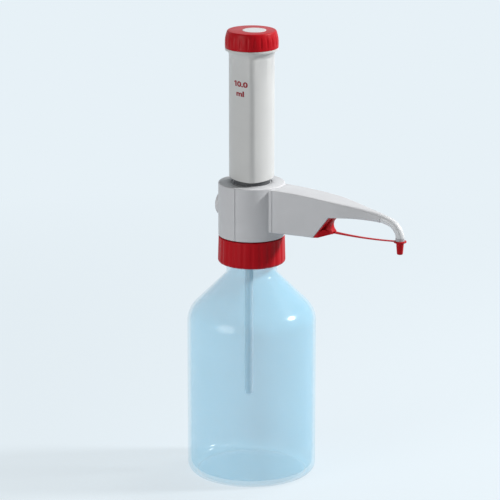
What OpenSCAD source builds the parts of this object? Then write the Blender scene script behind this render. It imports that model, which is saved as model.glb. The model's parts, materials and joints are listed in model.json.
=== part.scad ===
// Bottle top dispenser on its reagent bottle.
// The bottle stands on z = 0 with its axis on Z, and the discharge arm points along +X.
// All lengths are in millimetres.

/* [Bottle] */
// Outside diameter of the bottle
bottle_d = 102; // [92:1:112]
// Thickness of the bottle's wall
bottle_wall = 2.2; // [1.5:0.1:3]
// Thickness of the bottle's bottom
bottle_floor = 4; // [3:0.5:6]
// Radius of the rounded edge round the bottom
heel_r = 8; // [5:0.5:12]
// Height at which the straight side gives way to the shoulder
bottle_side_h = 124; // [115:1:140]
// Radius between the straight side and the sloping shoulder
shoulder_r = 21; // [12:1:26]
// Slope of the shoulder in degrees
shoulder_slope = 45; // [40:1:50]
// Outside diameter of the neck
neck_d = 40.2; // [38:0.1:41]
// Bore of the neck
mouth_d = 30; // [28:0.5:31]
// Length of the neck above the shoulder
neck_l = 24.9; // [20:0.1:30]

/* [Collar nut] */
// Bore that takes the thread of the neck
nut_bore_d = 45.6; // [44.5:0.1:46.5]
// Thickness of the nut's side wall at its top
nut_wall = 3.35; // [2.6:0.05:5]
// How far the nut's side leans out towards its lower edge
nut_flare = 0.6; // [0:0.1:1.5]
// Height of the nut
nut_h = 21.4; // [18:0.1:24]
// Thickness of the nut's top wall
nut_top_t = 1.9; // [1.5:0.1:2.5]
// Number of flutes round the nut
nut_flutes = 24; // [18:1:30]
// Thickness of the flat seal on the bottle's mouth
seal_t = 1.4; // [1:0.1:2]

/* [Valve housing] */
// How much wider the housing is than the top of the nut
housing_over = 0.2; // [0:0.1:1]
// Height of the housing
housing_h = 42.5; // [40:0.5:48]
// Thickness of the housing's moulded shells
shell_t = 2.5; // [2:0.1:3]
// Gap between the nut and the housing above it
housing_lift = 0.9; // [0.5:0.1:1.5]
// Room round the block's clamping flange, inside the nut
flange_room = 1.3; // [0.8:0.1:2]
// Thickness of the clamping flange
flange_t = 2; // [1.5:0.1:3]
// Diameter of the block where it passes through the nut's top wall
waist_d = 36; // [33:0.5:38]
// Width of the seams between moulded covers
seam = 0.35; // [0.2:0.05:0.5]
// Diameter of the vent plug at the back of the housing
vent_d = 18.5; // [14:0.5:20]
// How far the vent plug stands out behind the housing
vent_out = 2.5; // [1:0.25:4]

/* [Arm] */
// Distance from the axis to the seam where the arm's cover begins
arm_x0 = 25.6; // [24.5:0.1:30]
// Width of the arm at its root
arm_w = 26.2; // [22:0.2:28]
// Step from the top of the housing down to the arm
arm_top_step = 1.4; // [1:0.1:4]
// Step from the foot of the housing up to the arm
arm_foot_step = 6.9; // [4:0.1:10]
// Distance from the axis to the tip of the arm's cover
arm_tip_x = 115; // [110:0.5:117]
// How much thicker the round tip of the arm's cover is than the tube
arm_tip_over = 0.7; // [0.6:0.1:2]
// Narrowing of each side of the arm before its sides draw in towards the tip
arm_taper = 3; // [2:0.25:5]
// Distance from the axis to where the arm's sides begin to draw in
arm_waist_x = 68; // [62:0.5:76]
// Lean of the arm's sides towards its underside, in degrees
arm_lean = 3.5; // [0:0.25:5]
// Edge radius of the arm at its root
arm_edge_r = 1.2; // [0.6:0.1:3]
// Thickness of the arm's wall
arm_wall = 1.8; // [1.2:0.1:2.4]
// Distance from the axis to the lower corner of the slanted notch
notch_x = 59.7; // [55:0.1:64]
// Length of the notch's slanted wall along the arm
notch_run = 13.6; // [8:0.1:15]
// Height of the notch's slanted wall
notch_rise = 17.6; // [14:0.1:19]
// Arch of the arm's underside past the notch
arm_arch = 1.1; // [0:0.1:2]

/* [Discharge tube] */
// Distance from the bottle's axis to the axis of the nozzle
nozzle_x = 131; // [129:0.1:138]
// Height of the nozzle's end above the foot of the housing
nozzle_up = 12.2; // [8:0.1:14]
// Outside diameter of the discharge tube
tube_d = 6.7; // [6.4:0.1:7.4]
// Bore of the discharge tube
tube_bore_d = 3.6; // [3.2:0.1:4.5]
// Radius of the bend above the nozzle
bend_r = 13.5; // [11:0.5:14.5]
// Slope of the tube where it leaves the arm, in degrees
tip_slope = 15; // [11:1:18]
// Outside diameter of the liner tube inside the arm
liner_d = 3.4; // [3:0.1:3.5]
// Bore of the liner tube
liner_bore_d = 2; // [1.5:0.1:2.2]
// Length of the fine tip below the tube
tip_l = 9; // [6:0.5:12]

/* [Dosing cylinder] */
// Dispensed volume in millilitres
volume_ml = 10; // [5:0.5:10]
// Bore of the glass cylinder
cylinder_bore_d = 16; // [15.6:0.1:16.4]
// Wall thickness of the glass cylinder
cylinder_wall = 1.7; // [1.2:0.1:2]
// Wall thickness of the cylinder's jacket
jacket_wall = 1.6; // [1.2:0.1:2.4]
// Length of the piston's head
piston_l = 12; // [10:0.5:16]
// Diameter of the piston rod
rod_d = 7.2; // [6:0.2:9]

/* [Piston sleeve] */
// Width across the three-lobed sleeve
sleeve_w = 35.6; // [35:0.1:37]
// Radius of the sleeve's three lobes
lobe_r = 12; // [10:0.5:14]
// Wall thickness of the sleeve
sleeve_wall = 2.2; // [1.8:0.1:2.6]
// Depth of the sleeve from its lower edge to its deck
sleeve_l = 100.8; // [95:0.1:110]
// Gap between the sleeve and the housing when the piston is down
sleeve_gap = 3.3; // [1:0.1:4]
// Thickness of the deck that carries the piston rod
deck_t = 3.1; // [2.5:0.1:4]

/* [Screw cap] */
// Largest diameter of the screw cap
cap_d = 41.7; // [41:0.1:44]
// Diameter of the cap's flat top
cap_top_d = 38.8; // [36:0.2:39.4]
// Height of the cap
cap_h = 13.6; // [12:0.1:16]
// Number of grooves round the cap
cap_grooves = 24; // [18:1:30]
// Diameter of the white disc in the cap's top
disc_d = 18.6; // [15:0.2:20]
// Distance from the cap's axis to the disc's centre
disc_offset = 2.4; // [0:0.1:3]

/* [Valves and suction tube] */
// Distance of the filling valve behind the bottle's axis
filling_back = 2.4; // [0:0.1:2.8]
// Diameter of the filling valve's ball
filling_ball_d = 5.2; // [4.6:0.1:5.6]
// Diameter of the discharge valve's ball
discharge_ball_d = 4.8; // [4.4:0.1:5]
// How far a valve ball lifts off its seat
ball_lift = 1.2; // [0.8:0.1:1.5]
// Outside diameter of the suction tube
suction_d = 6.8; // [6.6:0.1:7.4]
// Wall thickness of the suction tube
suction_wall = 0.8; // [0.6:0.05:1]
// Height of the suction tube's open end above the table
suction_end = 64.8; // [58:0.2:80]
// Room between the pushed-in extension and the filling valve's nipple above it
extension_room = 3; // [1:0.5:25]
// Wall thickness of the telescopic extension
extension_wall = 0.7; // [0.5:0.05:0.9]

/* [Closure] */
// Diameter of the flange of the nozzle's cap
closure_flange_d = 10; // [9:0.1:12]
// Diameter of the closure just under its flange
closure_d = 6.1; // [5.6:0.1:7]
// Diameter at the closure's lower end
closure_end_d = 4.6; // [4.4:0.1:5.4]
// Width of the strap between the holder and the closure
strap_w = 2.6; // [2:0.1:4]
// Thickness of the strap
strap_t = 0.7; // [0.5:0.05:1]
// How far the strap sags between its ends
strap_sag = 0.9; // [0:0.1:2]

/* [Fits] */
// Radial gap of parts that turn or slide on each other
run_gap = 0.08; // [0.05:0.01:0.1]
// Gap between the sleeve's flat sides and the jacket
guide_gap = 0.3; // [0.2:0.05:0.4]
// Gap between faces that rest against each other
face_gap = 0.1; // [0.05:0.05:0.2]

/* [Hidden] */
$fn = 96;
SMALL_FN = 48;
ARC_STEPS = 8;
cut = 1; // how far a cutting tool runs past the face that it opens

nut_d = nut_bore_d + 2 * nut_wall;
housing_d = nut_d + housing_over;
flange_d = nut_bore_d - 2 * flange_room;

// Heights, from the table up
shoulder_z = bottle_side_h + shoulder_r * tan(shoulder_slope / 2);
neck_z = shoulder_z + (bottle_d - neck_d) / 2 * tan(shoulder_slope);
mouth_z = neck_z + neck_l;
flange_z = mouth_z + seal_t;
nut_wall_z = flange_z + flange_t + 2 * face_gap;
nut_top_z = nut_wall_z + nut_top_t;
foot_z = nut_top_z + housing_lift;
housing_top_z = foot_z + housing_h;
sleeve_z = housing_top_z + sleeve_gap;
deck_z = sleeve_z + sleeve_l;
cap_z = deck_z + deck_t;
cap_top_z = cap_z + cap_h;

// Valve block
plate_t = 3.6;
block_r = 17;
plate_r = housing_d / 2 - shell_t - face_gap;
block_h = housing_h - shell_t - face_gap;
top_plate_z = foot_z + block_h - plate_t;
valve_well_d = 12;
valve_well_h = 4.1; // from the foot of the housing to the ceiling of the filling valve's well
valve_well_z = foot_z + valve_well_h;
well_roof_t = 7; // between the well and the chamber under the piston
chamber_z = valve_well_z + well_roof_t;
chamber_r = cylinder_bore_d / 2 - 0.4;
chamber_h = 2.8;
seal_z = chamber_z + chamber_h;
cylinder_seal_t = 1.2;
cylinder_z = seal_z + cylinder_seal_t;
jacket_lift = 2; // how far the jacket stays above the cylinder's lower end
jacket_z = cylinder_z + jacket_lift;
duct_d = 2.4;
duct_z = chamber_z + chamber_h / 2;
filling_duct_d = 4;
slot_l = 7; // slot that keeps the duct open round the filling valve's ball
slot_h = 2;

// Vent in the back of the block
vent_up = 22; // height of the vent's axis above the foot of the housing
vent_z = foot_z + vent_up;
vent_rib = 6;
vent_rib_in = 1.5; // how far the rib stays inside the plate's edge
vent_bore_d = 12;
vent_bore_l = 6.5;
vent_duct_x = -(plate_r - 4);
vent_duct_l = 7.7;

// Dosing unit
stroke = volume_ml * 1000 / (PI * pow(cylinder_bore_d / 2, 2));
lobe_offset = (sleeve_w - 2 * lobe_r) / sqrt(3);
jacket_r = sleeve_w - lobe_r - sleeve_wall - lobe_offset - guide_gap;
jacket_top_z = deck_z - guide_gap;
cylinder_r = cylinder_bore_d / 2 + cylinder_wall;
jacket_lip_t = 3;
cylinder_top_z = jacket_top_z - jacket_lip_t;
jacket_lip_r = cylinder_bore_d / 2 + 1;
piston_z = cylinder_z + 1;
assert(piston_z + piston_l + stroke < cylinder_top_z, "the piston's stroke leaves the cylinder");
rod_socket = 6;
rod_shoulder_t = 2;
rod_shoulder_r = cylinder_bore_d / 2 - 0.5;
rod_thread_r = 5;
nut_on_rod_h = 4.9;
jacket_nut_r = jacket_r + 1.6;
jacket_nut_h = 5;
jacket_nut_z = housing_top_z - 0.4 - jacket_nut_h;

// Arm and discharge tube
arm_top_z = housing_top_z - arm_top_step;
arm_tip_d = tube_d + arm_tip_over;
arm_foot_z = foot_z + arm_foot_step;
nozzle_z = foot_z + nozzle_up;
nozzle_straight = 1.2; // straight length of the tube below its bend
bend_z = nozzle_z + nozzle_straight;
bend_start_x = nozzle_x - bend_r * (1 - sin(tip_slope));
bend_start_z = bend_z + bend_r * cos(tip_slope);
arm_tip_z = bend_start_z + (bend_start_x - arm_tip_x) * tan(tip_slope);
liner_arc_r = 90;
liner_z = arm_tip_z + liner_arc_r * (1 - cos(tip_slope));
liner_arc_x = arm_tip_x - liner_arc_r * sin(tip_slope);
spigot_l = 6;
spigot_d = tube_d - 1.4;
tip_solid_l = 11; // length of the arm's tip that is solid round its bores
arm_cavity_end = arm_tip_x - tip_solid_l;
tower_x = jacket_r + 5.8;
tower_r = 5.6;
tower_bore_r = 3.6;
discharge_seat_up = 4.5; // height of the valve's seat above the duct
discharge_seat_z = duct_z + discharge_seat_up;
discharge_seat_t = 2;
discharge_seat_bore = 2.6;
plug_drop = 2.2; // half the length of the plug inside the tower
tower_z = arm_foot_z + shell_t + face_gap;
tower_top_z = liner_z + plug_drop;

// Closure and its holder
strap_drop = 0.9; // how far the strap's middle lies below the nozzle's end
strap_z = nozzle_z - strap_drop;
holder_l = 14.3; // from the notch's lower corner to the root of the strap
strap_x0 = notch_x + holder_l;
strap_x1 = nozzle_x - closure_flange_d / 2 - face_gap;
closure_flange_t = 1.2;
closure_floor = 1.4;
holder_side_in = 1; // how far each side of the holder stays inside the arm's side
holder_plate_t = 0.9; // thickness, along the arm, of the plate that lines the notch
rib_w = 6.4; // width of the holder's rib that runs down into the strap
rib_back = 3.4; // how far the hollow of the rib's front stays behind the strap's root
tongue_t = 1.8; // thickness of the holder's tongue at the strap's root
peg_r = 2;
peg_l = 5;

// Unit vector along v
function unit(v) = v / norm(v);

// Points of the arc of radius r that rounds the corner b between a and c
function corner(a, b, c, r) =
    let (
        u = unit(a - b),
        v = unit(c - b),
        half = acos(u * v) / 2,
        centre = b + unit(u + v) * r / sin(half),
        start = b + u * r / tan(half) - centre,
        from = atan2(start[1], start[0]),
        sweep = sign(cross(b - a, c - b)) * (180 - 2 * half)
    )
    [for (i = [0:ARC_STEPS])
        let (a = from + sweep * i / ARC_STEPS)
        centre + r * [cos(a), sin(a)]];

// Outline through the corners p, each given as [x, y, radius]
function rounded(p) =
    let (n = len(p))
    [for (i = [0:n - 1])
        let (a = p[(i + n - 1) % n], b = p[i], c = p[(i + 1) % n])
        each (b[2] > 0
            ? corner([a[0], a[1]], [b[0], b[1]], [c[0], c[1]], b[2])
            : [[b[0], b[1]]])];

// Solid of revolution about Z whose half section has the corners p
module turned(p) {
    rotate_extrude() polygon(rounded(p));
}

// Tube from z0 to z1 between two radii
module ring(r_in, r_out, z0, z1) {
    translate([0, 0, z0]) difference() {
        cylinder(r = r_out, h = z1 - z0);
        translate([0, 0, -cut]) cylinder(r = r_in, h = z1 - z0 + 2 * cut);
    }
}

// Plate of outline p in the X-Z plane, centred on Y, width w
module side_plate(p, w) {
    rotate([90, 0, 0]) translate([0, 0, -w / 2]) linear_extrude(w) polygon(p);
}

// ---------------------------------------------------------------- bottle

module bottle_outside() {
    turned([
        [0, 0, 0],
        [bottle_d / 2, 0, heel_r],
        [bottle_d / 2, shoulder_z, shoulder_r],
        [neck_d / 2, neck_z, 3],
        [neck_d / 2, mouth_z, 0.8],
        [0, mouth_z, 0]
    ]);
}

module bottle_inside() {
    inner_r = bottle_d / 2 - bottle_wall;
    drop = bottle_wall / cos(shoulder_slope);
    turned([
        [0, bottle_floor, 0],
        [inner_r, bottle_floor, heel_r - bottle_wall],
        [inner_r, shoulder_z + bottle_wall * tan(shoulder_slope) - drop, shoulder_r - bottle_wall],
        [mouth_d / 2, shoulder_z + (bottle_d - mouth_d) / 2 * tan(shoulder_slope) - drop, 4],
        [mouth_d / 2, mouth_z + cut, 0],
        [0, mouth_z + cut, 0]
    ]);
}

module bottle() {
    color([0.72, 0.86, 0.93, 0.5]) difference() {
        bottle_outside();
        bottle_inside();
    }
}

module neck_seal() {
    color("white") ring(mouth_d / 2, neck_d / 2, mouth_z, flange_z);
}

// ---------------------------------------------------------------- collar nut

module collar_nut() {
    foot = nut_top_z - nut_h;
    flute_r = 1.4;
    flute_out = 0.65; // how far outside the nut's edge the flute's axis lies
    color([0.66, 0.05, 0.08]) difference() {
        turned([
            [nut_bore_d / 2, foot, 0.5],
            [nut_d / 2 + nut_flare, foot, 2.4],
            [nut_d / 2, nut_top_z, 0.6],
            [waist_d / 2 + run_gap, nut_top_z, 0],
            [waist_d / 2 + run_gap, nut_wall_z, 0],
            [nut_bore_d / 2, nut_wall_z, 0]
        ]);
        for (i = [0:nut_flutes - 1])
            rotate([0, 0, i * 360 / nut_flutes])
                translate([nut_d / 2 + nut_flare + flute_out, 0, foot - cut])
                    cylinder(r = flute_r, h = nut_h - 0.5 + cut, $fn = SMALL_FN);
    }
}

// ---------------------------------------------------------------- valve block

module block_body() {
    translate([0, 0, flange_z]) cylinder(d = flange_d, h = flange_t);
    translate([0, 0, flange_z]) cylinder(d = waist_d, h = foot_z - flange_z + cut);
    translate([0, 0, foot_z]) cylinder(r = plate_r, h = plate_t);
    translate([0, 0, foot_z]) cylinder(r = block_r, h = block_h);
    translate([0, 0, top_plate_z]) cylinder(r = plate_r, h = plate_t);
    translate([tower_x, 0, tower_z]) cylinder(r = tower_r, h = tower_top_z - tower_z);
    translate([-plate_r, 0, vent_z]) rotate([0, 90, 0]) cylinder(d = vent_d, h = plate_r - jacket_r);
    translate([-plate_r + vent_rib_in, -vent_rib / 2, foot_z])
        cube([plate_r - block_r, vent_rib, vent_z - foot_z]);
}

// Round rod of diameter d and length l that runs up from [x, 0, z]
module rod_up(x, z, d, l) {
    translate([x, 0, z]) cylinder(d = d, h = l, $fn = SMALL_FN);
}

// Round rod of diameter d and length l that runs along +X from [x, 0, z]
module rod_along(x, z, d, l) {
    translate([x, 0, z]) rotate([0, 90, 0]) cylinder(d = d, h = l, $fn = SMALL_FN);
}

// Way of the liquid from the filling valve through the chamber to the liner tube
module liquid_ducts() {
    rod_up(-filling_back, flange_z - cut, valve_well_d, valve_well_z - flange_z + cut);
    rod_up(-filling_back, valve_well_z - cut, filling_duct_d, well_roof_t + 2 * cut);
    translate([-filling_back, 0, valve_well_z]) cube([duct_d / 2, slot_l, slot_h], center = true);
    rod_along(0, duct_z, duct_d, tower_x);
    rod_up(tower_x, duct_z, duct_d, discharge_seat_up + cut);
    rod_up(tower_x, discharge_seat_z, 2 * tower_bore_r, tower_top_z - discharge_seat_z + cut);
    rod_along(tower_x, liner_z, liner_d + face_gap, 2 * tower_r);
}

// Way of the air from the vent plug down to the bottle
module vent_ducts() {
    rod_along(-plate_r - cut, vent_z, vent_bore_d, vent_bore_l + cut);
    rod_up(vent_duct_x, valve_well_z, duct_d, vent_z - valve_well_z);
    rod_along(vent_duct_x, valve_well_z, duct_d, vent_duct_l);
    rod_up(vent_duct_x + vent_duct_l, flange_z - cut, duct_d, valve_well_z - flange_z + cut);
}

module valve_block() {
    color([0.86, 0.87, 0.88]) difference() {
        block_body();
        liquid_ducts();
        vent_ducts();
        translate([0, 0, chamber_z]) cylinder(r = chamber_r, h = chamber_h + cut);
        translate([0, 0, seal_z]) cylinder(r = cylinder_r + face_gap / 2, h = jacket_z - seal_z + cut);
        translate([0, 0, jacket_z]) cylinder(r = jacket_r + face_gap / 2, h = housing_h);
        translate([0, 0, jacket_nut_z]) cylinder(r = jacket_nut_r + face_gap, h = housing_h);
    }
}

// ---------------------------------------------------------------- housing shells

// Rounded rectangle in the Y-Z plane as points in space, for the arm's loft.
// Its sides lean in towards the underside by lean for each unit of height.
function arm_section(x, hw, bottom, top, r, lean = 0) =
    let (h = (top - bottom) / 2, mid = (top + bottom) / 2)
    [for (q = [[1, 1, 0], [-1, 1, 90], [-1, -1, 180], [1, -1, 270]], i = [0:ARC_STEPS])
        let (
            y = q[0] * (hw - r) + r * cos(q[2] + 90 * i / ARC_STEPS),
            z = mid + q[1] * (h - r) + r * sin(q[2] + 90 * i / ARC_STEPS)
        )
        [x, y * (1 - lean * (top - z) / hw), z]];

module housing_outside() {
    turned([
        [0, foot_z, 0],
        [housing_d / 2, foot_z, 0.4],
        [housing_d / 2, housing_top_z, 1],
        [0, housing_top_z, 0]
    ]);
}

module housing_inside() {
    translate([0, 0, foot_z - cut]) cylinder(r = housing_d / 2 - shell_t, h = housing_h - shell_t + cut);
    translate([0, 0, foot_z]) cylinder(r = jacket_nut_r + face_gap, h = housing_h + cut);
}

// Half space on one side of the seam that divides the housing
module half_space(side) {
    reach = housing_d + arm_x0;
    translate([side > 0 ? seam / 2 : -reach - seam / 2, -reach / 2, 0]) cube([reach, reach, cap_top_z]);
}

module rear_shell() {
    color([0.88, 0.89, 0.9]) difference() {
        intersection() {
            housing_outside();
            half_space(-1);
        }
        housing_inside();
        translate([-housing_d, 0, vent_z]) rotate([0, 90, 0])
            cylinder(d = vent_d + 4 * face_gap, h = housing_d);
    }
}

// Straight root of the arm from x0 to x1, drawn in by inset
module stub(x0, x1, inset) {
    edge_r = max(arm_edge_r - inset, ARM_MIN_R);
    points = arm_section(0, arm_w / 2 - inset, arm_foot_z + inset, arm_top_z - inset, edge_r);
    translate([x0, 0, 0]) rotate([90, 0, 90]) linear_extrude(x1 - x0)
        polygon([for (p = points) [p[1], p[2]]]);
}

module front_shell() {
    color([0.88, 0.89, 0.9]) difference() {
        union() {
            intersection() {
                housing_outside();
                half_space(1);
            }
            stub(block_r, arm_x0 - seam / 2, 0);
        }
        housing_inside();
        stub(block_r - cut, arm_x0 + cut, shell_t);
    }
}

// ---------------------------------------------------------------- arm cover

notch_end = notch_x + notch_run;
under_z = arm_foot_z + notch_rise;
tip_over = 2; // how far the loft runs past the tip before it is trimmed square to the tube
tip_hw = arm_tip_d / 2;
ARM_MIN_R = 0.3; // smallest edge radius of the arm's sections
ROOT_RIBS = 6; // steps of the loft before the notch
TIP_RIBS = 14; // steps of the loft past the notch

// Share of the arm's length reached at x, and the distance past its tip
function arm_t(x) = min(max(x - arm_x0, 0) / (arm_tip_x - arm_x0), 1);
function arm_past(x) = max(x - arm_tip_x, 0) * tan(tip_slope);

// Share of the way from x0 to x1, eased at both ends
function eased(x, x0, x1) =
    let (u = min(max((x - x0) / (x1 - x0), 0), 1))
    u * u * (3 - 2 * u);

function arm_top(x) =
    arm_top_z - (arm_top_z - arm_tip_z - tip_hw) * pow(arm_t(x), 1.85) - arm_past(x);
function arm_half_w(x) =
    let (straight = arm_w / 2 - arm_taper * pow(arm_t(x), 0.6))
    straight + (tip_hw - straight) * eased(x, arm_waist_x, arm_tip_x);
function arm_r(x) = arm_edge_r + (tip_hw - arm_edge_r) * pow(arm_t(x), 4);
function arm_tan(x) = tan(arm_lean) * sin(180 * arm_t(x));
function arm_under(x) =
    let (u = min((x - notch_end) / (arm_tip_x - notch_end), 1))
    x <= notch_x ? arm_foot_z
    : x < notch_end ? arm_foot_z + notch_rise * (x - notch_x) / notch_run
    : under_z + (arm_tip_z - tip_hw - under_z) * u + arm_arch * sin(180 * u) - arm_past(x);

// Section of the arm at x, drawn in by inset
function arm_rib(x, inset) =
    let (
        hw = arm_half_w(x) - inset,
        top = arm_top(x) - inset,
        bottom = arm_under(x) + inset,
        most_r = min(hw, (top - bottom) / 2) - 0.01
    )
    arm_section(x, hw, bottom, top, min(max(arm_r(x) - inset, ARM_MIN_R), most_r), arm_tan(x));

// Closed skin over the arm's sections from x_start to x_end
module arm_loft(x_start, x_end, inset) {
    stations = concat(
        [for (i = [0:ROOT_RIBS]) x_start + (notch_x - x_start) * i / ROOT_RIBS],
        [for (i = [0:TIP_RIBS]) notch_end + (x_end - notch_end) * i / TIP_RIBS]
    );
    m = 4 * (ARC_STEPS + 1);
    n = len(stations);
    points = [for (x = stations) each arm_rib(x, inset)];
    near_half = [for (i = [0:n - 2], j = [0:m - 1])
        [i * m + j, (i + 1) * m + j, i * m + (j + 1) % m]];
    far_half = [for (i = [0:n - 2], j = [0:m - 1])
        [(i + 1) * m + j, (i + 1) * m + (j + 1) % m, i * m + (j + 1) % m]];
    ends = [[for (j = [0:m - 1]) j], [for (j = [0:m - 1]) n * m - 1 - j]];
    polyhedron(points, concat(near_half, far_half, ends), convexity = 4);
}

// Frame at the tip of the arm: +X runs along the tube as it leaves
module at_tip() {
    translate([arm_tip_x, 0, arm_tip_z]) rotate([0, tip_slope, 0]) children();
}

// Frame on the notch's slanted wall, at its middle: +X points out of the arm
module at_notch() {
    translate([notch_x + notch_run / 2, 0, arm_foot_z + notch_rise / 2])
        rotate([0, 90 - atan2(notch_rise, notch_run), 0]) children();
}

module arm_cover() {
    liner_way_l = 16; // from the tube's spigot back into the arm's cavity
    color([0.86, 0.87, 0.88]) difference() {
        arm_loft(arm_x0 + seam / 2, arm_tip_x + tip_over, 0);
        arm_loft(arm_x0 - cut, arm_cavity_end, arm_wall);
        at_tip() translate([0, -arm_tip_d, -arm_tip_d]) cube(2 * arm_tip_d);
        at_tip() rotate([0, -90, 0]) cylinder(d = spigot_d + face_gap, h = spigot_l, $fn = SMALL_FN);
        at_tip() translate([cut, 0, 0]) rotate([0, -90, 0])
            cylinder(d = liner_d + 8 * face_gap, h = liner_way_l, $fn = SMALL_FN);
        at_notch() rotate([0, -90, 0]) translate([0, 0, -cut])
            cylinder(r = peg_r, h = peg_l + cut, $fn = SMALL_FN);
        translate([0, 0, foot_z]) cylinder(d = housing_d + seam, h = housing_h);
    }
}

// Half width of the arm at height z on the notch's slanted wall
function notch_half_w(z) =
    let (x = notch_x + notch_run * (z - arm_foot_z) / notch_rise)
    arm_half_w(x) - arm_tan(x) * (arm_top(x) - z);

// Holder that lines the notch, with a rib and a wedge that run down into the strap
module cap_holder() {
    lining_gap = 0.15; // between the slanted wall and the holder
    foot_z = arm_foot_z + face_gap;
    roof_z = under_z - 2 * face_gap;
    wall_x = notch_x + lining_gap;
    roof_x = notch_end + lining_gap;
    plate_w = 2 * (notch_half_w(foot_z) - holder_side_in);
    tongue_foot = strap_z - tongue_t / 2;
    tongue_top = strap_z + tongue_t / 2;
    plate = [
        [wall_x, foot_z],
        [wall_x + holder_plate_t, foot_z],
        [roof_x + holder_plate_t, roof_z],
        [roof_x, roof_z]
    ];
    wedge = rounded([
        [wall_x, foot_z, 0],
        [notch_x + 4, foot_z + 0.4, 4],
        [strap_x0, tongue_foot, 0],
        [strap_x0, tongue_top, 0],
        [wall_x + notch_run / 2, tongue_top + 1.6, 0]
    ]);
    rib = rounded([
        [wall_x + 1, foot_z + 1.4, 0],
        [strap_x0 - 1, tongue_foot, 0],
        [strap_x0, tongue_foot, 0],
        [strap_x0, tongue_top, 0],
        [strap_x0 - rib_back, tongue_top + 3.4, 6],
        [roof_x + 1, roof_z, 0],
        [roof_x, roof_z, 0]
    ]);
    plan_y = plate_w / 2;
    plan = [
        [wall_x, -plan_y], [notch_x + 4, -plan_y], [strap_x0, -strap_w / 2],
        [strap_x0, strap_w / 2], [notch_x + 4, plan_y], [wall_x, plan_y]
    ];
    color([0.66, 0.05, 0.08]) {
        side_plate(plate, plate_w);
        side_plate(rib, rib_w);
        intersection() {
            side_plate(wedge, plate_w);
            translate([0, 0, foot_z]) linear_extrude(roof_z - foot_z) polygon(plan);
        }
        at_notch() rotate([0, 90, 0]) translate([0, 0, 0.2 - peg_l])
            cylinder(r = peg_r - face_gap / 2, h = peg_l, $fn = SMALL_FN);
    }
}

// ---------------------------------------------------------------- closure

STRAP_STEPS = 16;
strap_swell = 1; // share by which the strap is thicker at the holder

// Point at the share u of the strap's length, on its upper (side 1) or lower (side -1) face
function strap_point(u, side) = [
    strap_x0 + (strap_x1 - strap_x0) * u,
    strap_z - strap_sag * 4 * u * (1 - u) + side * strap_t / 2 * (1 + strap_swell * pow(1 - u, 3))
];

module cap_strap() {
    upper = [for (i = [0:STRAP_STEPS]) strap_point(i / STRAP_STEPS, 1)];
    lower = [for (i = [STRAP_STEPS:-1:0]) strap_point(i / STRAP_STEPS, -1)];
    color([0.66, 0.05, 0.08]) side_plate(concat(upper, lower), strap_w);
}

module nozzle_cap() {
    top = nozzle_z - face_gap;
    bore_r = liner_d / 2 + run_gap;
    bore_z = nozzle_z - tip_l - 0.4;
    color([0.66, 0.05, 0.08]) translate([nozzle_x, 0, 0]) turned([
        [0, bore_z - closure_floor, 0],
        [closure_end_d / 2, bore_z - closure_floor, 0.6],
        [closure_d / 2, top - closure_flange_t, 0],
        [closure_flange_d / 2, top - closure_flange_t, 0.3],
        [closure_flange_d / 2, top, 0.3],
        [bore_r, top, 0],
        [bore_r, bore_z, 0],
        [0, bore_z, 0]
    ]);
}

// ---------------------------------------------------------------- discharge tube

lap = 0.5; // how far a straight length runs into the bends at its ends
neck_in = 0.05; // how much thinner a bend is than the straights that close over its ends

// Round bar of radius r that runs along +X and turns down towards -Z.
// Each segment is [straight length, bend angle, bend radius].
module bar(r, segments, k = 0) {
    if (k < len(segments)) {
        s = segments[k];
        translate([k > 0 ? -lap : 0, 0, 0]) rotate([0, 90, 0])
            cylinder(r = r, h = s[0] + (k > 0 ? lap : 0) + (s[1] > 0 ? lap : 0), $fn = SMALL_FN);
        translate([s[0], 0, -s[2]]) {
            if (s[1] > 0)
                rotate([90, 0, 0]) rotate([0, 0, 90 - s[1]])
                    rotate_extrude(angle = s[1]) translate([s[2], 0])
                        circle(r = r - neck_in, $fn = SMALL_FN);
            rotate([0, s[1], 0]) translate([0, 0, s[2]]) bar(r, segments, k + 1);
        }
    }
}

tip_run = (bend_start_x - arm_tip_x) / cos(tip_slope);
tip_bend = 90 - tip_slope;
tip_in = 1; // how far the fine tip reaches up into the nozzle
spigot_gap = 0.5; // between the spigot's end and the floor of its socket

// Outer body (over = 0) or bore (over = cut) of the tube that leaves the arm
module tube_run(r, back, over) {
    translate([-back, 0, 0])
        bar(r, [[back + tip_run, tip_bend, bend_r], [nozzle_straight + over, 0, 0]]);
}

module discharge_tube() {
    color([0.86, 0.87, 0.88]) at_tip() difference() {
        union() {
            tube_run(tube_d / 2, 0, 0);
            translate([spigot_gap - spigot_l, 0, 0]) rotate([0, 90, 0])
                cylinder(d = spigot_d, h = spigot_l, $fn = SMALL_FN);
        }
        tube_run(tube_bore_d / 2, spigot_l + cut, cut);
    }
}

// Outer body (over = 0) or bore (over = cut) of the liner tube
module liner_run(r, x0, over) {
    translate([x0 - over, 0, liner_z])
        bar(r, [
            [liner_arc_x - x0 + over, tip_slope, liner_arc_r],
            [tip_run, tip_bend, bend_r],
            [nozzle_straight - tip_in + over, 0, 0]
        ]);
}

module liner_tube() {
    x0 = tower_x + liner_d / 2;
    color([0.95, 0.95, 0.93]) difference() {
        liner_run(liner_d / 2, x0, 0);
        liner_run(liner_bore_d / 2, x0, cut);
    }
}

module nozzle_ring() {
    ring_t = 0.2;
    ring_h = 2.4;
    color([0.8, 0.81, 0.82]) translate([nozzle_x, 0, 0])
        ring(tube_d / 2, tube_d / 2 + ring_t, nozzle_z, nozzle_z + ring_h);
}

module nozzle_tip() {
    top = nozzle_z + tip_in - face_gap;
    color([0.95, 0.95, 0.93]) translate([nozzle_x, 0, 0]) turned([
        [liner_bore_d / 4, nozzle_z - tip_l, 0],
        [liner_d / 2, nozzle_z - tip_l, 0.5],
        [liner_d / 2, top, 0],
        [liner_bore_d / 4, top, 0]
    ]);
}

// ---------------------------------------------------------------- discharge valve

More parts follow.
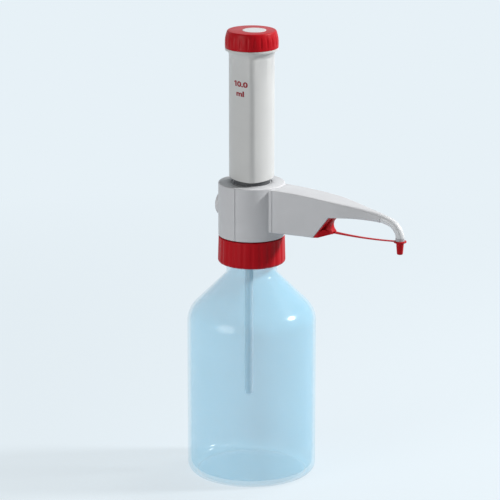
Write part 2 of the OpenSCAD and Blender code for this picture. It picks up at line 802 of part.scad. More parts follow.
discharge_ball_r = discharge_ball_d / 2;
discharge_ball_z = discharge_seat_z + discharge_seat_t + 0.05
    + sqrt(pow(discharge_ball_r, 2) - pow(discharge_seat_bore / 2, 2));
SPRING_TURNS = 5;
SPRING_STEPS = 16;
SPRING_SIDES = 8;
spring_wire_r = 0.3;
spring_r = 1.9;

module discharge_seat() {
    color([0.95, 0.95, 0.93]) translate([tower_x, 0, 0])
        ring(discharge_seat_bore / 2, tower_bore_r, discharge_seat_z, discharge_seat_z + discharge_seat_t);
}

module discharge_ball() {
    color([0.75, 0.72, 0.75]) translate([tower_x, 0, discharge_ball_z])
        sphere(d = discharge_ball_d, $fn = SMALL_FN);
}

// Coil of round wire between the ball and the plug
module discharge_spring() {
    z0 = discharge_ball_z + discharge_ball_r * 0.7 + spring_wire_r; // the coil rests on the ball's shoulder
    z1 = liner_z - plug_drop - spring_wire_r - face_gap / 2;
    n = SPRING_TURNS * SPRING_STEPS;
    points = [for (i = [0:n], j = [0:SPRING_SIDES - 1])
        let (
            a = 360 * i / SPRING_STEPS,
            b = 360 * j / SPRING_SIDES,
            r = spring_r + spring_wire_r * cos(b)
        )
        [r * cos(a), r * sin(a), z0 + (z1 - z0) * i / n + spring_wire_r * sin(b)]];
    near_half = [for (i = [0:n - 1], j = [0:SPRING_SIDES - 1])
        [i * SPRING_SIDES + j, i * SPRING_SIDES + (j + 1) % SPRING_SIDES,
         (i + 1) * SPRING_SIDES + j]];
    far_half = [for (i = [0:n - 1], j = [0:SPRING_SIDES - 1])
        [i * SPRING_SIDES + (j + 1) % SPRING_SIDES, (i + 1) * SPRING_SIDES + (j + 1) % SPRING_SIDES,
         (i + 1) * SPRING_SIDES + j]];
    ends = [
        [for (j = [0:SPRING_SIDES - 1]) SPRING_SIDES - 1 - j],
        [for (j = [0:SPRING_SIDES - 1]) n * SPRING_SIDES + j]
    ];
    color([0.8, 0.8, 0.82]) translate([tower_x, 0, 0])
        polyhedron(points, concat(near_half, far_half, ends), convexity = 8);
}

module discharge_plug() {
    slot_w = 0.9;
    slot_depth = 0.4;
    color([0.95, 0.95, 0.93]) difference() {
        rod_up(tower_x, liner_z - plug_drop, 2 * tower_bore_r, 2 * plug_drop);
        translate([tower_x - slot_w / 2, -2 * tower_bore_r, tower_top_z - slot_depth])
            cube([slot_w, 4 * tower_bore_r, slot_depth + cut]);
        rod_up(tower_x, liner_z - plug_drop - cut, liner_bore_d, plug_drop + cut);
        rod_along(tower_x, liner_z, liner_bore_d, 2 * tower_r);
        rod_along(tower_x + liner_d / 2, liner_z, liner_d, 2 * tower_r);
    }
}

// ---------------------------------------------------------------- filling valve and suction tube

filling_ball_r = filling_ball_d / 2;
filling_bore_r = 1.7;
filling_ball_z = valve_well_z - ball_lift - filling_ball_r - 0.05;
filling_seat_z = filling_ball_z - 0.05 - sqrt(pow(filling_ball_r, 2) - pow(filling_bore_r, 2));
suction_bore_r = suction_d / 2 - suction_wall;
extension_out = 2; // how far the pushed-in extension stands out below the suction tube
hex_h = 4.3;
hex_r = 8;
collar_h = 7.6;
nipple_l = 10;
hex_z = flange_z - face_gap - hex_h;
suction_top_z = hex_z - collar_h;
nipple_z = suction_top_z - nipple_l;

module filling_valve() {
    body_d = valve_well_d - face_gap;
    cage_d = filling_ball_d + 1;
    x = -filling_back;
    color([0.92, 0.92, 0.9]) difference() {
        union() {
            rod_up(x, hex_z, body_d, valve_well_z - hex_z);
            translate([x, 0, hex_z]) cylinder(r = hex_r, h = hex_h, $fn = 6);
            rod_up(x, suction_top_z, suction_d + 2, collar_h);
            rod_up(x, nipple_z, 2 * suction_bore_r, nipple_l + cut);
        }
        rod_up(x, nipple_z - cut, 2 * filling_bore_r, filling_seat_z - nipple_z + 2 * cut);
        rod_up(x, filling_seat_z, cage_d, housing_h);
    }
}

module filling_ball() {
    color([0.75, 0.72, 0.75]) translate([-filling_back, 0, filling_ball_z])
        sphere(d = filling_ball_d, $fn = SMALL_FN);
}

module suction_tube() {
    color([0.9, 0.93, 0.95]) translate([-filling_back, 0, 0])
        ring(suction_bore_r, suction_d / 2, suction_end, suction_top_z);
}

module suction_extension() {
    outer_r = suction_bore_r - run_gap;
    end_z = suction_end - extension_out;
    color([0.9, 0.93, 0.95]) translate([-filling_back, 0, 0])
        ring(outer_r - extension_wall, outer_r, end_z, nipple_z - extension_room);
}

// ---------------------------------------------------------------- vent plug

spigot_r = vent_bore_d / 2 - run_gap;
vent_face_x = housing_d / 2 + vent_out;
vent_head_l = vent_face_x - plate_r - face_gap;
vent_groove_z = vent_head_l + 2;
vent_groove_l = 1.8;
vent_groove_r = spigot_r - 1.2;
vent_seal_gap = 0.03;

// Frame of the vent plug: +Z points into the housing from the plug's outer face
module at_vent() {
    translate([-vent_face_x, 0, vent_z]) rotate([0, 90, 0]) children();
}

module vent_plug() {
    end = vent_head_l + vent_bore_l - 0.6;
    color([0.9, 0.91, 0.92]) at_vent() turned([
        [0, 0, 0],
        [vent_d / 2, 0, 1],
        [vent_d / 2, vent_head_l, 0],
        [spigot_r, vent_head_l, 0],
        [spigot_r, vent_groove_z, 0],
        [vent_groove_r, vent_groove_z, 0],
        [vent_groove_r, vent_groove_z + vent_groove_l, 0],
        [spigot_r, vent_groove_z + vent_groove_l, 0],
        [spigot_r, end, 0.5],
        [0, end, 0]
    ]);
}

module vent_seal() {
    color([0.15, 0.15, 0.15]) at_vent()
        ring(vent_groove_r, vent_bore_d / 2 - vent_seal_gap, vent_groove_z, vent_groove_z + vent_groove_l);
}

// ---------------------------------------------------------------- dosing cylinder

module glass_cylinder() {
    color([0.8, 0.9, 0.95, 0.5])
        ring(cylinder_bore_d / 2, cylinder_r, cylinder_z, cylinder_top_z);
}

module cylinder_seal() {
    color([0.95, 0.95, 0.93]) ring(cylinder_bore_d / 2, cylinder_r, seal_z, cylinder_z);
}

module cylinder_jacket() {
    inner = jacket_r - jacket_wall;
    grip_l = 5; // length over which the jacket's top holds the cylinder
    grip_taper = 4;
    color([0.9, 0.91, 0.92]) turned([
        [inner, jacket_z, 0],
        [jacket_r, jacket_z, 0],
        [jacket_r, jacket_top_z, 0.8],
        [jacket_lip_r, jacket_top_z, 0],
        [jacket_lip_r, cylinder_top_z, 0],
        [cylinder_r + face_gap / 2, cylinder_top_z, 0],
        [cylinder_r + face_gap / 2, cylinder_top_z - grip_l, 0],
        [inner, cylinder_top_z - grip_l - grip_taper, 0]
    ]);
}

module jacket_nut() {
    color([0.8, 0.81, 0.82])
        ring(jacket_r + face_gap / 2, jacket_nut_r, jacket_nut_z, jacket_nut_z + jacket_nut_h);
}

// ---------------------------------------------------------------- piston

piston_r = cylinder_bore_d / 2 - 0.35;
piston_groove_r = piston_r - 1.2;
piston_groove_l = 1.8;
piston_grooves = [piston_z + 2, piston_z + piston_l - 4];
piston_seal_gap = 0.03;

module piston_head() {
    color([0.95, 0.95, 0.93]) difference() {
        translate([0, 0, piston_z]) cylinder(r = piston_r, h = piston_l);
        for (z = piston_grooves) ring(piston_groove_r, piston_r + cut, z, z + piston_groove_l);
        translate([0, 0, piston_z + piston_l - rod_socket]) cylinder(d = rod_d, h = rod_socket + cut);
    }
}

module piston_seals() {
    seal_r = cylinder_bore_d / 2 - piston_seal_gap;
    color([0.85, 0.85, 0.84])
        for (z = piston_grooves) ring(piston_groove_r, seal_r, z, z + piston_groove_l);
}

module piston_rod() {
    foot = piston_z + piston_l - rod_socket;
    top = cap_z + nut_on_rod_h + 1;
    color([0.85, 0.86, 0.87]) turned([
        [0, foot, 0],
        [rod_d / 2, foot, 0],
        [rod_d / 2, deck_z - 2 * rod_shoulder_t, 0],
        [rod_shoulder_r, deck_z - rod_shoulder_t, 0],
        [rod_shoulder_r, deck_z, 0],
        [rod_thread_r, deck_z, 0],
        [rod_thread_r, top, 0.6],
        [0, top, 0]
    ]);
}

module rod_nut() {
    nut_r = 10;
    slot_w = 2.2;
    slot_depth = 1.8;
    top = cap_z + nut_on_rod_h;
    color([0.8, 0.81, 0.82]) difference() {
        ring(rod_thread_r, nut_r, cap_z, top);
        translate([-nut_r - cut, -slot_w / 2, top - slot_depth])
            cube([2 * (nut_r + cut), slot_w, slot_depth + cut]);
    }
}

// ---------------------------------------------------------------- piston sleeve

// Outline with three round lobes and the same width all round, drawn in by inset
function lobed(inset) =
    let (small = lobe_r - inset, large = sleeve_w - lobe_r - inset)
    [for (k = [0:2], part = [0, 1], i = [0:ARC_STEPS - 1])
        let (
            lobe = 180 + 120 * k,
            bearing = part == 0 ? lobe : lobe + 240,
            centre = lobe_offset * [cos(bearing), sin(bearing)],
            a = lobe - 30 + 60 * part + 60 * i / ARC_STEPS,
            r = part == 0 ? small : large
        )
        centre + r * [cos(a), sin(a)]];

flange_r = cap_d / 2;
flange_edge = 1.7;
flare_h = 5.2;
flare_in = 1.1; // how far the flare starts inside the sleeve's side
spigot_out_r = 16.5;
spigot_in_r = 14;
spigot_h = 8;

// Flare that widens the sleeve to the round flange under the cap
module sleeve_flare() {
    r0 = sleeve_w / 2 - flare_in;
    r_in = lobe_offset + lobe_r - sleeve_wall + face_gap;
    z1 = cap_z - flange_edge;
    rotate_extrude() polygon(concat(
        [[r_in, z1 - flare_h]],
        [for (i = [0:ARC_STEPS]) let (a = 90 * i / ARC_STEPS)
            [r0 + (flange_r - r0) * (1 - cos(a)), z1 - flare_h + flare_h * sin(a)]],
        [[flange_r, cap_z], [r_in, cap_z]]
    ));
}

module piston_sleeve() {
    color([0.87, 0.87, 0.86]) difference() {
        union() {
            translate([0, 0, sleeve_z]) linear_extrude(sleeve_l + deck_t) polygon(lobed(0));
            sleeve_flare();
            translate([0, 0, cap_z - cut]) cylinder(r = spigot_out_r, h = spigot_h + cut);
        }
        translate([0, 0, sleeve_z - cut]) linear_extrude(sleeve_l + cut) polygon(lobed(sleeve_wall));
        translate([0, 0, deck_z - cut]) cylinder(r = rod_thread_r + run_gap, h = deck_t + 2 * cut);
        translate([0, 0, cap_z]) cylinder(r = spigot_in_r, h = spigot_h + cut);
    }
}

// ---------------------------------------------------------------- screw cap

module top_cap() {
    z0 = cap_z + face_gap;
    bend_up = z0 + 0.42 * cap_h;
    waist_r = 40; // radius of the soft bend between the cap's straight side and its cone
    groove_r = 0.9;
    groove_out = 0.35;
    groove_turn = 0.37; // share of a pitch by which the first groove is turned from +X
    roof_t = 4.2;
    lean = atan2(cap_d - cap_top_d, 2 * (cap_top_z - bend_up));
    color([0.68, 0.06, 0.1]) difference() {
        turned([
            [0, z0, 0],
            [cap_d / 2, z0, 0.3],
            [cap_d / 2, bend_up, waist_r],
            [cap_top_d / 2, cap_top_z, 0.8],
            [0, cap_top_z, 0]
        ]);
        translate([0, 0, z0 - cut]) cylinder(r = spigot_out_r + run_gap, h = cap_h - roof_t + cut);
        translate([disc_offset, 0, cap_top_z - disc_t]) cylinder(d = disc_d, h = disc_t + cut);
        for (i = [0:cap_grooves - 1])
            rotate([0, 0, (i + groove_turn) * 360 / cap_grooves])
                translate([cap_d / 2 + groove_out, 0, 0]) {
                    translate([0, 0, z0 - cut])
                        cylinder(r = groove_r, h = bend_up - z0 + 2 * cut, $fn = SMALL_FN);
                    translate([0, 0, bend_up]) rotate([0, -lean, 0]) translate([0, 0, -cut])
                        cylinder(r = groove_r, h = cap_top_z - bend_up + cut - 0.4, $fn = SMALL_FN);
                }
    }
}

disc_t = 1.2;
disc_proud = 0.15;

module cap_disc() {
    color("white") translate([disc_offset, 0, 0]) turned([
        [0, cap_top_z - disc_t, 0],
        [disc_d / 2 - face_gap / 2, cap_top_z - disc_t, 0],
        [disc_d / 2 - face_gap / 2, cap_top_z + disc_proud, 0.3],
        [0, cap_top_z + disc_proud, 0]
    ]);
}

bottle();
neck_seal();
collar_nut();
valve_block();
rear_shell();
front_shell();
arm_cover();
vent_plug();
vent_seal();
glass_cylinder();
cylinder_seal();
cylinder_jacket();
jacket_nut();
piston_head();
piston_seals();
piston_rod();
rod_nut();
piston_sleeve();
top_cap();
cap_disc();
filling_valve();
filling_ball();
suction_tube();
suction_extension();
discharge_seat();
discharge_ball();
discharge_spring();
discharge_plug();
liner_tube();
discharge_tube();
nozzle_ring();
nozzle_tip();
cap_holder();
cap_strap();
nozzle_cap();
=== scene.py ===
"""Finished pieces, materials and stage of a bottle top dispenser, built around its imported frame.

Sizes in the groups below are in millimetres. Every piece sits at the origin, with its place in its mesh.
"""

import json
import math

import bpy
from bpy.props import FloatProperty, FloatVectorProperty, IntProperty, PointerProperty
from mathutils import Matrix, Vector

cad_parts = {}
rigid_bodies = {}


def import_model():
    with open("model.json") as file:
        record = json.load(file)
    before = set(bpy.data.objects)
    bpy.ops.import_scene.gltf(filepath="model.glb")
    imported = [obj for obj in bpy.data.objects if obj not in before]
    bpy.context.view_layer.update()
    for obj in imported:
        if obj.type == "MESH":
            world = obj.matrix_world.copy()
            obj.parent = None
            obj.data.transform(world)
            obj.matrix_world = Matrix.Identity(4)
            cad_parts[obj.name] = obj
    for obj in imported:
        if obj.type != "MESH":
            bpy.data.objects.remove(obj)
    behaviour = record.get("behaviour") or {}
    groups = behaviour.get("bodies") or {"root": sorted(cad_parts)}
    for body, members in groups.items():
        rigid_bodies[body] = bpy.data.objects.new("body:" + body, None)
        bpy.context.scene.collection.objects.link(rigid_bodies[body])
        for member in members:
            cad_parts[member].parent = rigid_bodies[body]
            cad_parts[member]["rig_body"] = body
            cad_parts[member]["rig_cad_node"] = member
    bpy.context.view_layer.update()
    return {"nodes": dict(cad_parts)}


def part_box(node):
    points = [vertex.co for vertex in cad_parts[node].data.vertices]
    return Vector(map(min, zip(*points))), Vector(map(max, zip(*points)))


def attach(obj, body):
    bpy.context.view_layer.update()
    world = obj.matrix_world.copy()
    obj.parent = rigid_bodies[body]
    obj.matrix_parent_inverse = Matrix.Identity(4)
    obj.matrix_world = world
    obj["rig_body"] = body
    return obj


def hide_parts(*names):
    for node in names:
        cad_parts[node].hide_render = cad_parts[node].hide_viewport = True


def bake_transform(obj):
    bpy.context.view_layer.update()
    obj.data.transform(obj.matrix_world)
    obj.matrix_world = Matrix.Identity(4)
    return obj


bl_info = {
    "name": "Bottle top dispenser",
    "version": (1, 0, 0),
    "blender": (4, 5, 0),
    "location": "View3D > Sidebar > Dispenser",
    "description": "Models the pieces of a bottle top dispenser round its frame and gives them their finishes",
    "category": "Add Mesh",
}

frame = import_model()

MM = 0.001


def node_box(node):
    """Lowest and highest corner of a CAD node, in millimetres."""
    low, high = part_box(node)
    return low / MM, high / MM


BOTTLE_TOP = node_box("bottle")[1].z
BOTTLE_R = node_box("bottle")[1].x
NUT_LOW, NUT_HIGH = node_box("collar_nut")
SLEEVE_LOW, SLEEVE_HIGH = node_box("piston_sleeve")
CAP_LOW, CAP_HIGH = node_box("top_cap")
VENT_LOW, VENT_HIGH = node_box("vent_plug")
TUBE_LOW, TUBE_HIGH = node_box("discharge_tube")
RING_LOW, RING_HIGH = node_box("nozzle_ring")
CLOSURE_LOW, CLOSURE_HIGH = node_box("nozzle_cap")
STRAP_LOW, STRAP_HIGH = node_box("cap_strap")
NOZZLE_X = (RING_LOW.x + RING_HIGH.x) / 2
MARK_PLACE = (-0.7, SLEEVE_LOW.z + 75.8)  # where the volume mark's first line stands, along X and Z


# ------------------------------------------------------------------ sizes and colours


def size(name, text, default):
    """A length in millimetres that a user can change."""
    return FloatProperty(name=name, description=text, default=default, min=0.0, precision=2)


def amount(name, text, default):
    """A plain number that a user can change."""
    return FloatProperty(name=name, description=text, default=default, precision=3)


def colour(name, text, default):
    """A linear colour that a user can change."""
    return FloatVectorProperty(
        name=name, description=text, default=default, subtype="COLOR", size=3, min=0.0, max=1.0)


class BottleSizes(bpy.types.PropertyGroup):
    """Sizes of the bottle"""

    wall: size("Wall", "Thickness of the bottle's wall, mm", 2.2)
    floor: size("Bottom", "Thickness of the bottle's bottom, mm", 4.0)
    dent: size("Raised middle", "Rise of the middle of the bottom's underside, mm", 1.6)
    dent_r: size("Raised radius", "Radius of the bottom's raised middle, mm", 30.0)
    dent_edge: size("Raised edge", "Radius of the blend round the raised middle, mm", 20.0)
    heel: size("Heel radius", "Radius of the rounded edge round the bottom, mm", 8.0)
    shoulder: size("Shoulder radius", "Radius between the side and the shoulder, mm", 21.0)
    shoulder_z: size("Shoulder height", "Height at which side and shoulder would meet, mm", 132.7)
    neck_z: size("Neck height", "Height at which the shoulder meets the neck, mm", 163.6)
    neck_r: size("Neck radius", "Outer radius of the neck, mm", 20.1)
    mouth_r: size("Mouth radius", "Radius of the neck's bore, mm", 15.0)
    thread_r: size("Thread radius", "Radius over the crests of the neck's thread, mm", 22.2)
    thread_pitch: size("Thread pitch", "Rise of the thread in one turn, mm", 4.0)
    thread_rib: size("Thread rib", "Radius of the rounded rib that forms the thread, mm", 1.3)
    thread_drop: size("Thread start", "Depth below the bottle's mouth at which the thread starts, mm", 12.0)


class CollarSizes(bpy.types.PropertyGroup):
    """Sizes of the screw collar"""

    foot_r: size("Foot radius", "Outer radius at the collar's lower edge, mm", 26.75)
    top_r: size("Top radius", "Outer radius at the collar's upper edge, mm", 26.15)
    bore_r: size("Bore radius", "Radius of the threaded bore, mm", 22.8)
    waist_r: size("Waist radius", "Radius of the hole in the collar's top wall, mm", 18.08)
    top_t: size("Top wall", "Thickness of the collar's top wall, mm", 1.9)
    flutes: IntProperty(name="Flutes", description="Number of flutes round the collar", default=24, min=3)
    flute_depth: size("Flute depth", "Depth of the flutes, mm", 0.3)
    flute_reach: amount("Flute reach", "Half the width of a flute, in degrees round the collar", 3.2)


class SleeveSizes(bpy.types.PropertyGroup):
    """Sizes of the piston sleeve and its volume mark"""

    lobe_r: size("Lobe radius", "Radius of the three lobes, mm", 6.5)
    width: size("Width", "Width across the sleeve, the same all round, mm", 35.6)
    wall: size("Wall", "Thickness of the sleeve's wall, mm", 1.45)
    deck_t: size("Deck", "Thickness of the deck under the screw cap, mm", 3.1)
    flange_r: size("Flange radius", "Radius of the round flange under the screw cap, mm", 20.8)
    flare_h: size("Flare height", "Height of the flare under the round flange, mm", 5.2)
    flange_t: size("Flange edge", "Height of the flange's edge, mm", 1.7)
    spigot_r: size("Spigot radius", "Outer radius of the spigot inside the screw cap, mm", 16.5)
    spigot_h: size("Spigot height", "Height of the spigot inside the screw cap, mm", 8.0)
    rod_hole_r: size("Rod hole", "Radius of the hole for the piston rod, mm", 5.08)
    figure_h: size("Figure size", "Size of the printed volume mark, mm", 8.5)


class CapSizes(bpy.types.PropertyGroup):
    """Sizes of the screw cap"""

    side_r: size("Side radius", "Radius of the cap's side, mm", 20.85)
    top_r: size("Top radius", "Radius of the cap's flat top, mm", 19.4)
    bore_r: size("Bore radius", "Radius of the cap's bore, mm", 16.6)
    top_t: size("Top wall", "Thickness of the cap's top wall, mm", 4.2)
    grooves: IntProperty(name="Grooves", description="Number of grooves round the cap", default=24, min=3)
    groove_depth: size("Groove depth", "Depth of the grooves, mm", 0.4)
    groove_reach: amount("Groove reach", "Half the width of a groove, in degrees round the cap", 2.9)
    groove_turn: amount("Groove turn", "Bearing of the first groove, as a share of the pitch", 0.37)


class TubeSizes(bpy.types.PropertyGroup):
    """Sizes of the discharge tube"""

    bend_r: size("Bend radius", "Radius of the bend above the nozzle, mm", 13.5)
    slope: FloatProperty(name="Slope", description="Slope of the tube as it leaves the arm",
                         default=math.radians(15), subtype="ANGLE")
    straight: size("Straight end", "Length of the straight end above the nozzle, mm", 1.2)
    wall: size("Wall", "Thickness of the tube's wall, mm", 1.3)


class ClosureSizes(bpy.types.PropertyGroup):
    """Sizes of the nozzle's closure"""

    side_r: size("Side radius", "Radius of the closure under its flange, mm", 3.05)
    end_r: size("End radius", "Radius of the closure's lower end, mm", 2.3)
    bore_r: size("Bore radius", "Radius of the closure's bore, mm", 1.78)
    floor: size("Bottom", "Thickness of the closure's lower end, mm", 1.4)
    flange_t: size("Flange", "Thickness of the closure's flange, mm", 1.2)


class VentSizes(bpy.types.PropertyGroup):
    """Sizes of the vent plug"""

    head_l: size("Head", "Length of the vent plug's head, mm", 5.0)
    spigot_r: size("Spigot radius", "Radius of the plug's spigot, mm", 5.92)
    groove_r: size("Groove radius", "Radius at the bottom of the seal's groove, mm", 4.72)
    groove_l: size("Groove", "Width of the seal's groove, mm", 1.8)
    dish: size("Dish", "Depth of the dished middle of the plug's face, mm", 0.5)


class Finishes(bpy.types.PropertyGroup):
    """Colours of the plastics, glass, ink and floor"""

    red: colour("Red plastic", "Collar, screw cap, closure and its holder", (0.47, 0.004, 0.010))
    housing: colour("Housing plastic", "Valve housing, arm and vent plug", (0.62, 0.625, 0.64))
    sleeve: colour("Sleeve plastic", "Piston sleeve", (0.62, 0.625, 0.615))
    disc: colour("Disc plastic", "Disc in the screw cap", (0.72, 0.72, 0.72))
    grey: colour("Grey plastic", "Rings and nuts", (0.45, 0.46, 0.48))
    polymer: colour("Fluoropolymer", "Piston, seals, valves and liner", (0.80, 0.80, 0.78))
    # The jacket's near-black is painted shade: it stands in for the shadow in the gap under the sleeve
    painted_shade: colour("Dark plastic", "Jacket round the glass cylinder", (0.085, 0.088, 0.094))
    ink: colour("Ink", "Printed volume mark", (0.30, 0.02, 0.03))
    bottle: colour("Bottle", "Tint of the bottle", (0.28, 0.76, 1.0))
    nozzle: colour("Discharge tube", "Hazy plastic of the discharge tube", (0.80, 0.81, 0.82))
    tube: colour("Suction tube", "Milky plastic of the suction tube", (0.96, 0.97, 1.0))
    glass: colour("Cylinder glass", "Tint of the glass cylinder", (0.9, 0.95, 0.97))
    rubber: colour("Rubber", "Seal of the vent plug", (0.02, 0.02, 0.02))
    ceramic: colour("Ceramic", "Balls of the valves", (0.45, 0.40, 0.43))
    steel: colour("Steel", "Spring of the discharge valve", (0.70, 0.71, 0.72))
    floor: colour("Floor", "Pale floor of the stage", (0.80, 0.88, 0.93))
    floor_unseen: colour("Floor's reflection", "Floor as it lights the object", (0.42, 0.44, 0.46))


# ------------------------------------------------------------------ modelling by operators


def deselect():
    """Nothing is selected, and the mode is object mode."""
    if bpy.context.object and bpy.context.object.mode != "OBJECT":
        bpy.ops.object.mode_set(mode="OBJECT")
    bpy.ops.object.select_all(action="DESELECT")


def edit(piece):
    """Edit mode on one piece, with nothing selected in it."""
    deselect()
    piece.select_set(True)
    bpy.context.view_layer.objects.active = piece
    bpy.ops.object.mode_set(mode="EDIT")
    bpy.ops.mesh.select_all(action="DESELECT")


def pick(piece, test):
    """Selects the vertices of the piece in edit mode whose place, in millimetres, passes the test."""
    bpy.ops.mesh.select_mode(type="VERT")
    bpy.ops.mesh.select_all(action="DESELECT")
    bpy.ops.object.mode_set(mode="OBJECT")
    for v in piece.data.vertices:
        v.select = test(v.co / MM)
    bpy.ops.object.mode_set(mode="EDIT")


def fillet(corners, steps):
    """Outline through corners given as (x, y, radius), with each corner rounded."""
    out = []
    n = len(corners)
    for i, (x, y, r) in enumerate(corners):
        b = Vector((x, y))
        if r <= 0:
            out.append(b)
            continue
        u = (Vector(corners[i - 1][:2]) - b).normalized()
        v = (Vector(corners[(i + 1) % n][:2]) - b).normalized()
        half = math.acos(max(-1.0, min(1.0, u.dot(v)))) / 2
        centre = b + (u + v).normalized() * r / math.sin(half)
        first = b + u * r / math.tan(half) - centre
        turn = -math.copysign(math.pi - 2 * half, u.x * v.y - u.y * v.x)
        for k in range(steps + 1):
            a = turn * k / steps
            out.append(centre + Vector((
                first.x * math.cos(a) - first.y * math.sin(a),
                first.x * math.sin(a) + first.y * math.cos(a))))
    return out


def start(name, place):
    """A new piece that is one vertex at the place, in millimetres, in edit mode with that vertex selected."""
    deselect()
    bpy.ops.mesh.primitive_plane_add(size=MM, location=Vector(place) * MM)
    piece = bpy.context.object
    piece.name = piece.data.name = name
    bpy.ops.object.transform_apply(location=True, rotation=True, scale=True)
    bpy.ops.object.mode_set(mode="EDIT")
    bpy.ops.mesh.select_all(action="SELECT")
    bpy.ops.mesh.merge(type="CENTER")
    return piece


def draw_out(step):
    """Draws out what is selected by the step, in millimetres."""
    bpy.ops.mesh.extrude_region_move(TRANSFORM_OT_translate={"value": Vector(step) * MM})


def draw_line(points):
    """Draws the selected vertex out from the first place through the others."""
    for last, point in zip(points, points[1:]):
        draw_out(Vector(point) - Vector(last))


def widen(factor):
    """Scales what is selected about the Z axis, in X and Y."""
    bpy.ops.transform.resize(value=(factor, factor, 1), center_override=(0, 0, 0))


def close_up(gap=2e-6):
    """Merges the doubles of the whole mesh, turns its faces outwards and leaves edit mode."""
    bpy.ops.mesh.select_all(action="SELECT")
    bpy.ops.mesh.remove_doubles(threshold=gap)
    bpy.ops.mesh.normals_make_consistent(inside=False)
    bpy.ops.object.mode_set(mode="OBJECT")


def lathe(name, outline, steps=96, centre=(0.0, 0.0)):
    """Turned piece: a point is drawn out along the closed outline of (radius, height) and spun about Z."""
    x0, y0 = centre
    ends_on_axis = outline[0][0] < 1e-6 and outline[-1][0] < 1e-6
    points = [(x0 + r, y0, z) for r, z in outline]
    piece = start(name, points[0])
    draw_line(points if ends_on_axis else points + points[:1])
    bpy.ops.mesh.select_all(action="SELECT")
    bpy.ops.mesh.remove_doubles(threshold=1e-7)
    bpy.ops.mesh.spin(steps=steps, angle=2 * math.pi, center=(x0 * MM, y0 * MM, 0), axis=(0, 0, 1))
    close_up()
    return piece


def flute(piece, count, depth, reach, low, high, turn=0.0):
    """Draws in the vertices nearest to each of count lines, so that the side of a turned piece is fluted.

    reach is half the width of a flute in degrees, low and high are its ends, and each row of
    vertices is drawn in by its own share of the depth.
    """
    pitch = 360 / count
    skin = 2.2  # what lies deeper than this under the side stays

    def offset(co):
        a = (math.degrees(math.atan2(co.y, co.x)) - turn) % pitch
        return min(a, pitch - a)

    edit(piece)
    rows = sorted({round(offset(v.co / MM), 3) for v in piece.data.vertices})
    for row in rows:
        if row >= reach:
            continue
        share = math.sqrt(1 - (row / reach) ** 2)
        outer = max(math.hypot(v.co.x, v.co.y) for v in piece.data.vertices) / MM
        pick(piece, lambda co: abs(offset(co) - row) < 0.01 and low <= co.z <= high
             and math.hypot(co.x, co.y) > outer - skin)
        widen(1 - depth * share / outer)
    bpy.ops.object.mode_set(mode="OBJECT")


def smooth(piece, degrees):
    """Smooth shading, with the edges sharper than the angle left sharp."""
    deselect()
    piece.select_set(True)
    bpy.context.view_layer.objects.active = piece
    bpy.ops.object.shade_smooth_by_angle(angle=math.radians(degrees))
    return piece


def modified(piece, kind, **values):
    """Adds one modifier to the piece, sets its values and applies it."""
    deselect()
    piece.select_set(True)
    bpy.context.view_layer.objects.active = piece
    modifier = piece.modifiers.new(kind.title(), kind)
    for key, value in values.items():
        setattr(modifier, key, value)
    bpy.ops.object.modifier_apply(modifier=modifier.name)
    return piece


def merged_copy(node, name):
    """A copy of a CAD node with its loose triangles merged, ready for smooth shading."""
    deselect()
    source = frame["nodes"][node]
    piece = source.copy()
    piece.data = source.data.copy()
    piece.name = piece.data.name = name
    piece.parent = None
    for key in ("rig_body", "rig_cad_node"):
        if key in piece:
            del piece[key]
    bpy.context.scene.collection.objects.link(piece)
    edit(piece)
    bpy.ops.mesh.select_all(action="SELECT")
    bpy.ops.mesh.customdata_custom_splitnormals_clear()
    bpy.ops.mesh.remove_doubles(threshold=1e-6)
    bpy.ops.object.mode_set(mode="OBJECT")
    return piece


def edged_copy(node, name, width):
    """A copy of a moulded CAD node with its flat faces joined and its sharp edges rounded off."""
    piece = merged_copy(node, name)
    edit(piece)
    bpy.ops.mesh.select_all(action="SELECT")
    bpy.ops.mesh.dissolve_limited(angle_limit=math.radians(0.1))
    bpy.ops.object.mode_set(mode="OBJECT")
    modified(piece, "BEVEL", width=width * MM, segments=3, limit_method="ANGLE",
             angle_limit=math.radians(35), use_clamp_overlap=True)
    return smooth(piece, 40)


def dress(piece, body, finish, *nodes):
    """Gives a finished piece its material in a new slot and its body, and hides the CAD nodes that it stands
    for.

    A piece that is blended across two bodies has no body of its own here.
    """
    piece.data.materials.clear()
    piece.data.materials.append(MATERIALS[finish])
    if body:
        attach(piece, body)
    if nodes:
        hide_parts(*nodes)


# ------------------------------------------------------------------ materials


def shader(name):
    """A new material with its node tree and its Principled shader."""
    material = bpy.data.materials.new(name)
    material.use_nodes = True
    tree = material.node_tree
    return material, tree, tree.nodes["Principled BSDF"]


def noise(tree, scale, detail=3.0):
    """Noise on Object coordinates."""
    place = tree.nodes.new("ShaderNodeTexCoord")
    node = tree.nodes.new("ShaderNodeTexNoise")
    node.inputs["Scale"].default_value = scale
    node.inputs["Detail"].default_value = detail
    node.inputs["Roughness"].default_value = 0.55
    tree.links.new(place.outputs["Object"], node.inputs["Vector"])
    return node.outputs["Fac"]


def spread(tree, value, low, high):
    """Maps a noise value to the range from low to high."""
    node = tree.nodes.new("ShaderNodeMapRange")
    node.inputs["From Min"].default_value = 0.3
    node.inputs["From Max"].default_value = 0.7
    node.inputs["To Min"].default_value = low
    node.inputs["To Max"].default_value = high
    tree.links.new(value, node.inputs["Value"])
    return node.outputs["Result"]


def two_tone(tree, factor, first, second):
    """Mixes two colours by the factor."""
    mix = tree.nodes.new("ShaderNodeMix")
    mix.data_type = "RGBA"
    mix.inputs["A"].default_value = (*first, 1)
    mix.inputs["B"].default_value = (*second, 1)
    tree.links.new(factor, mix.inputs["Factor"])
    return mix.outputs["Result"]


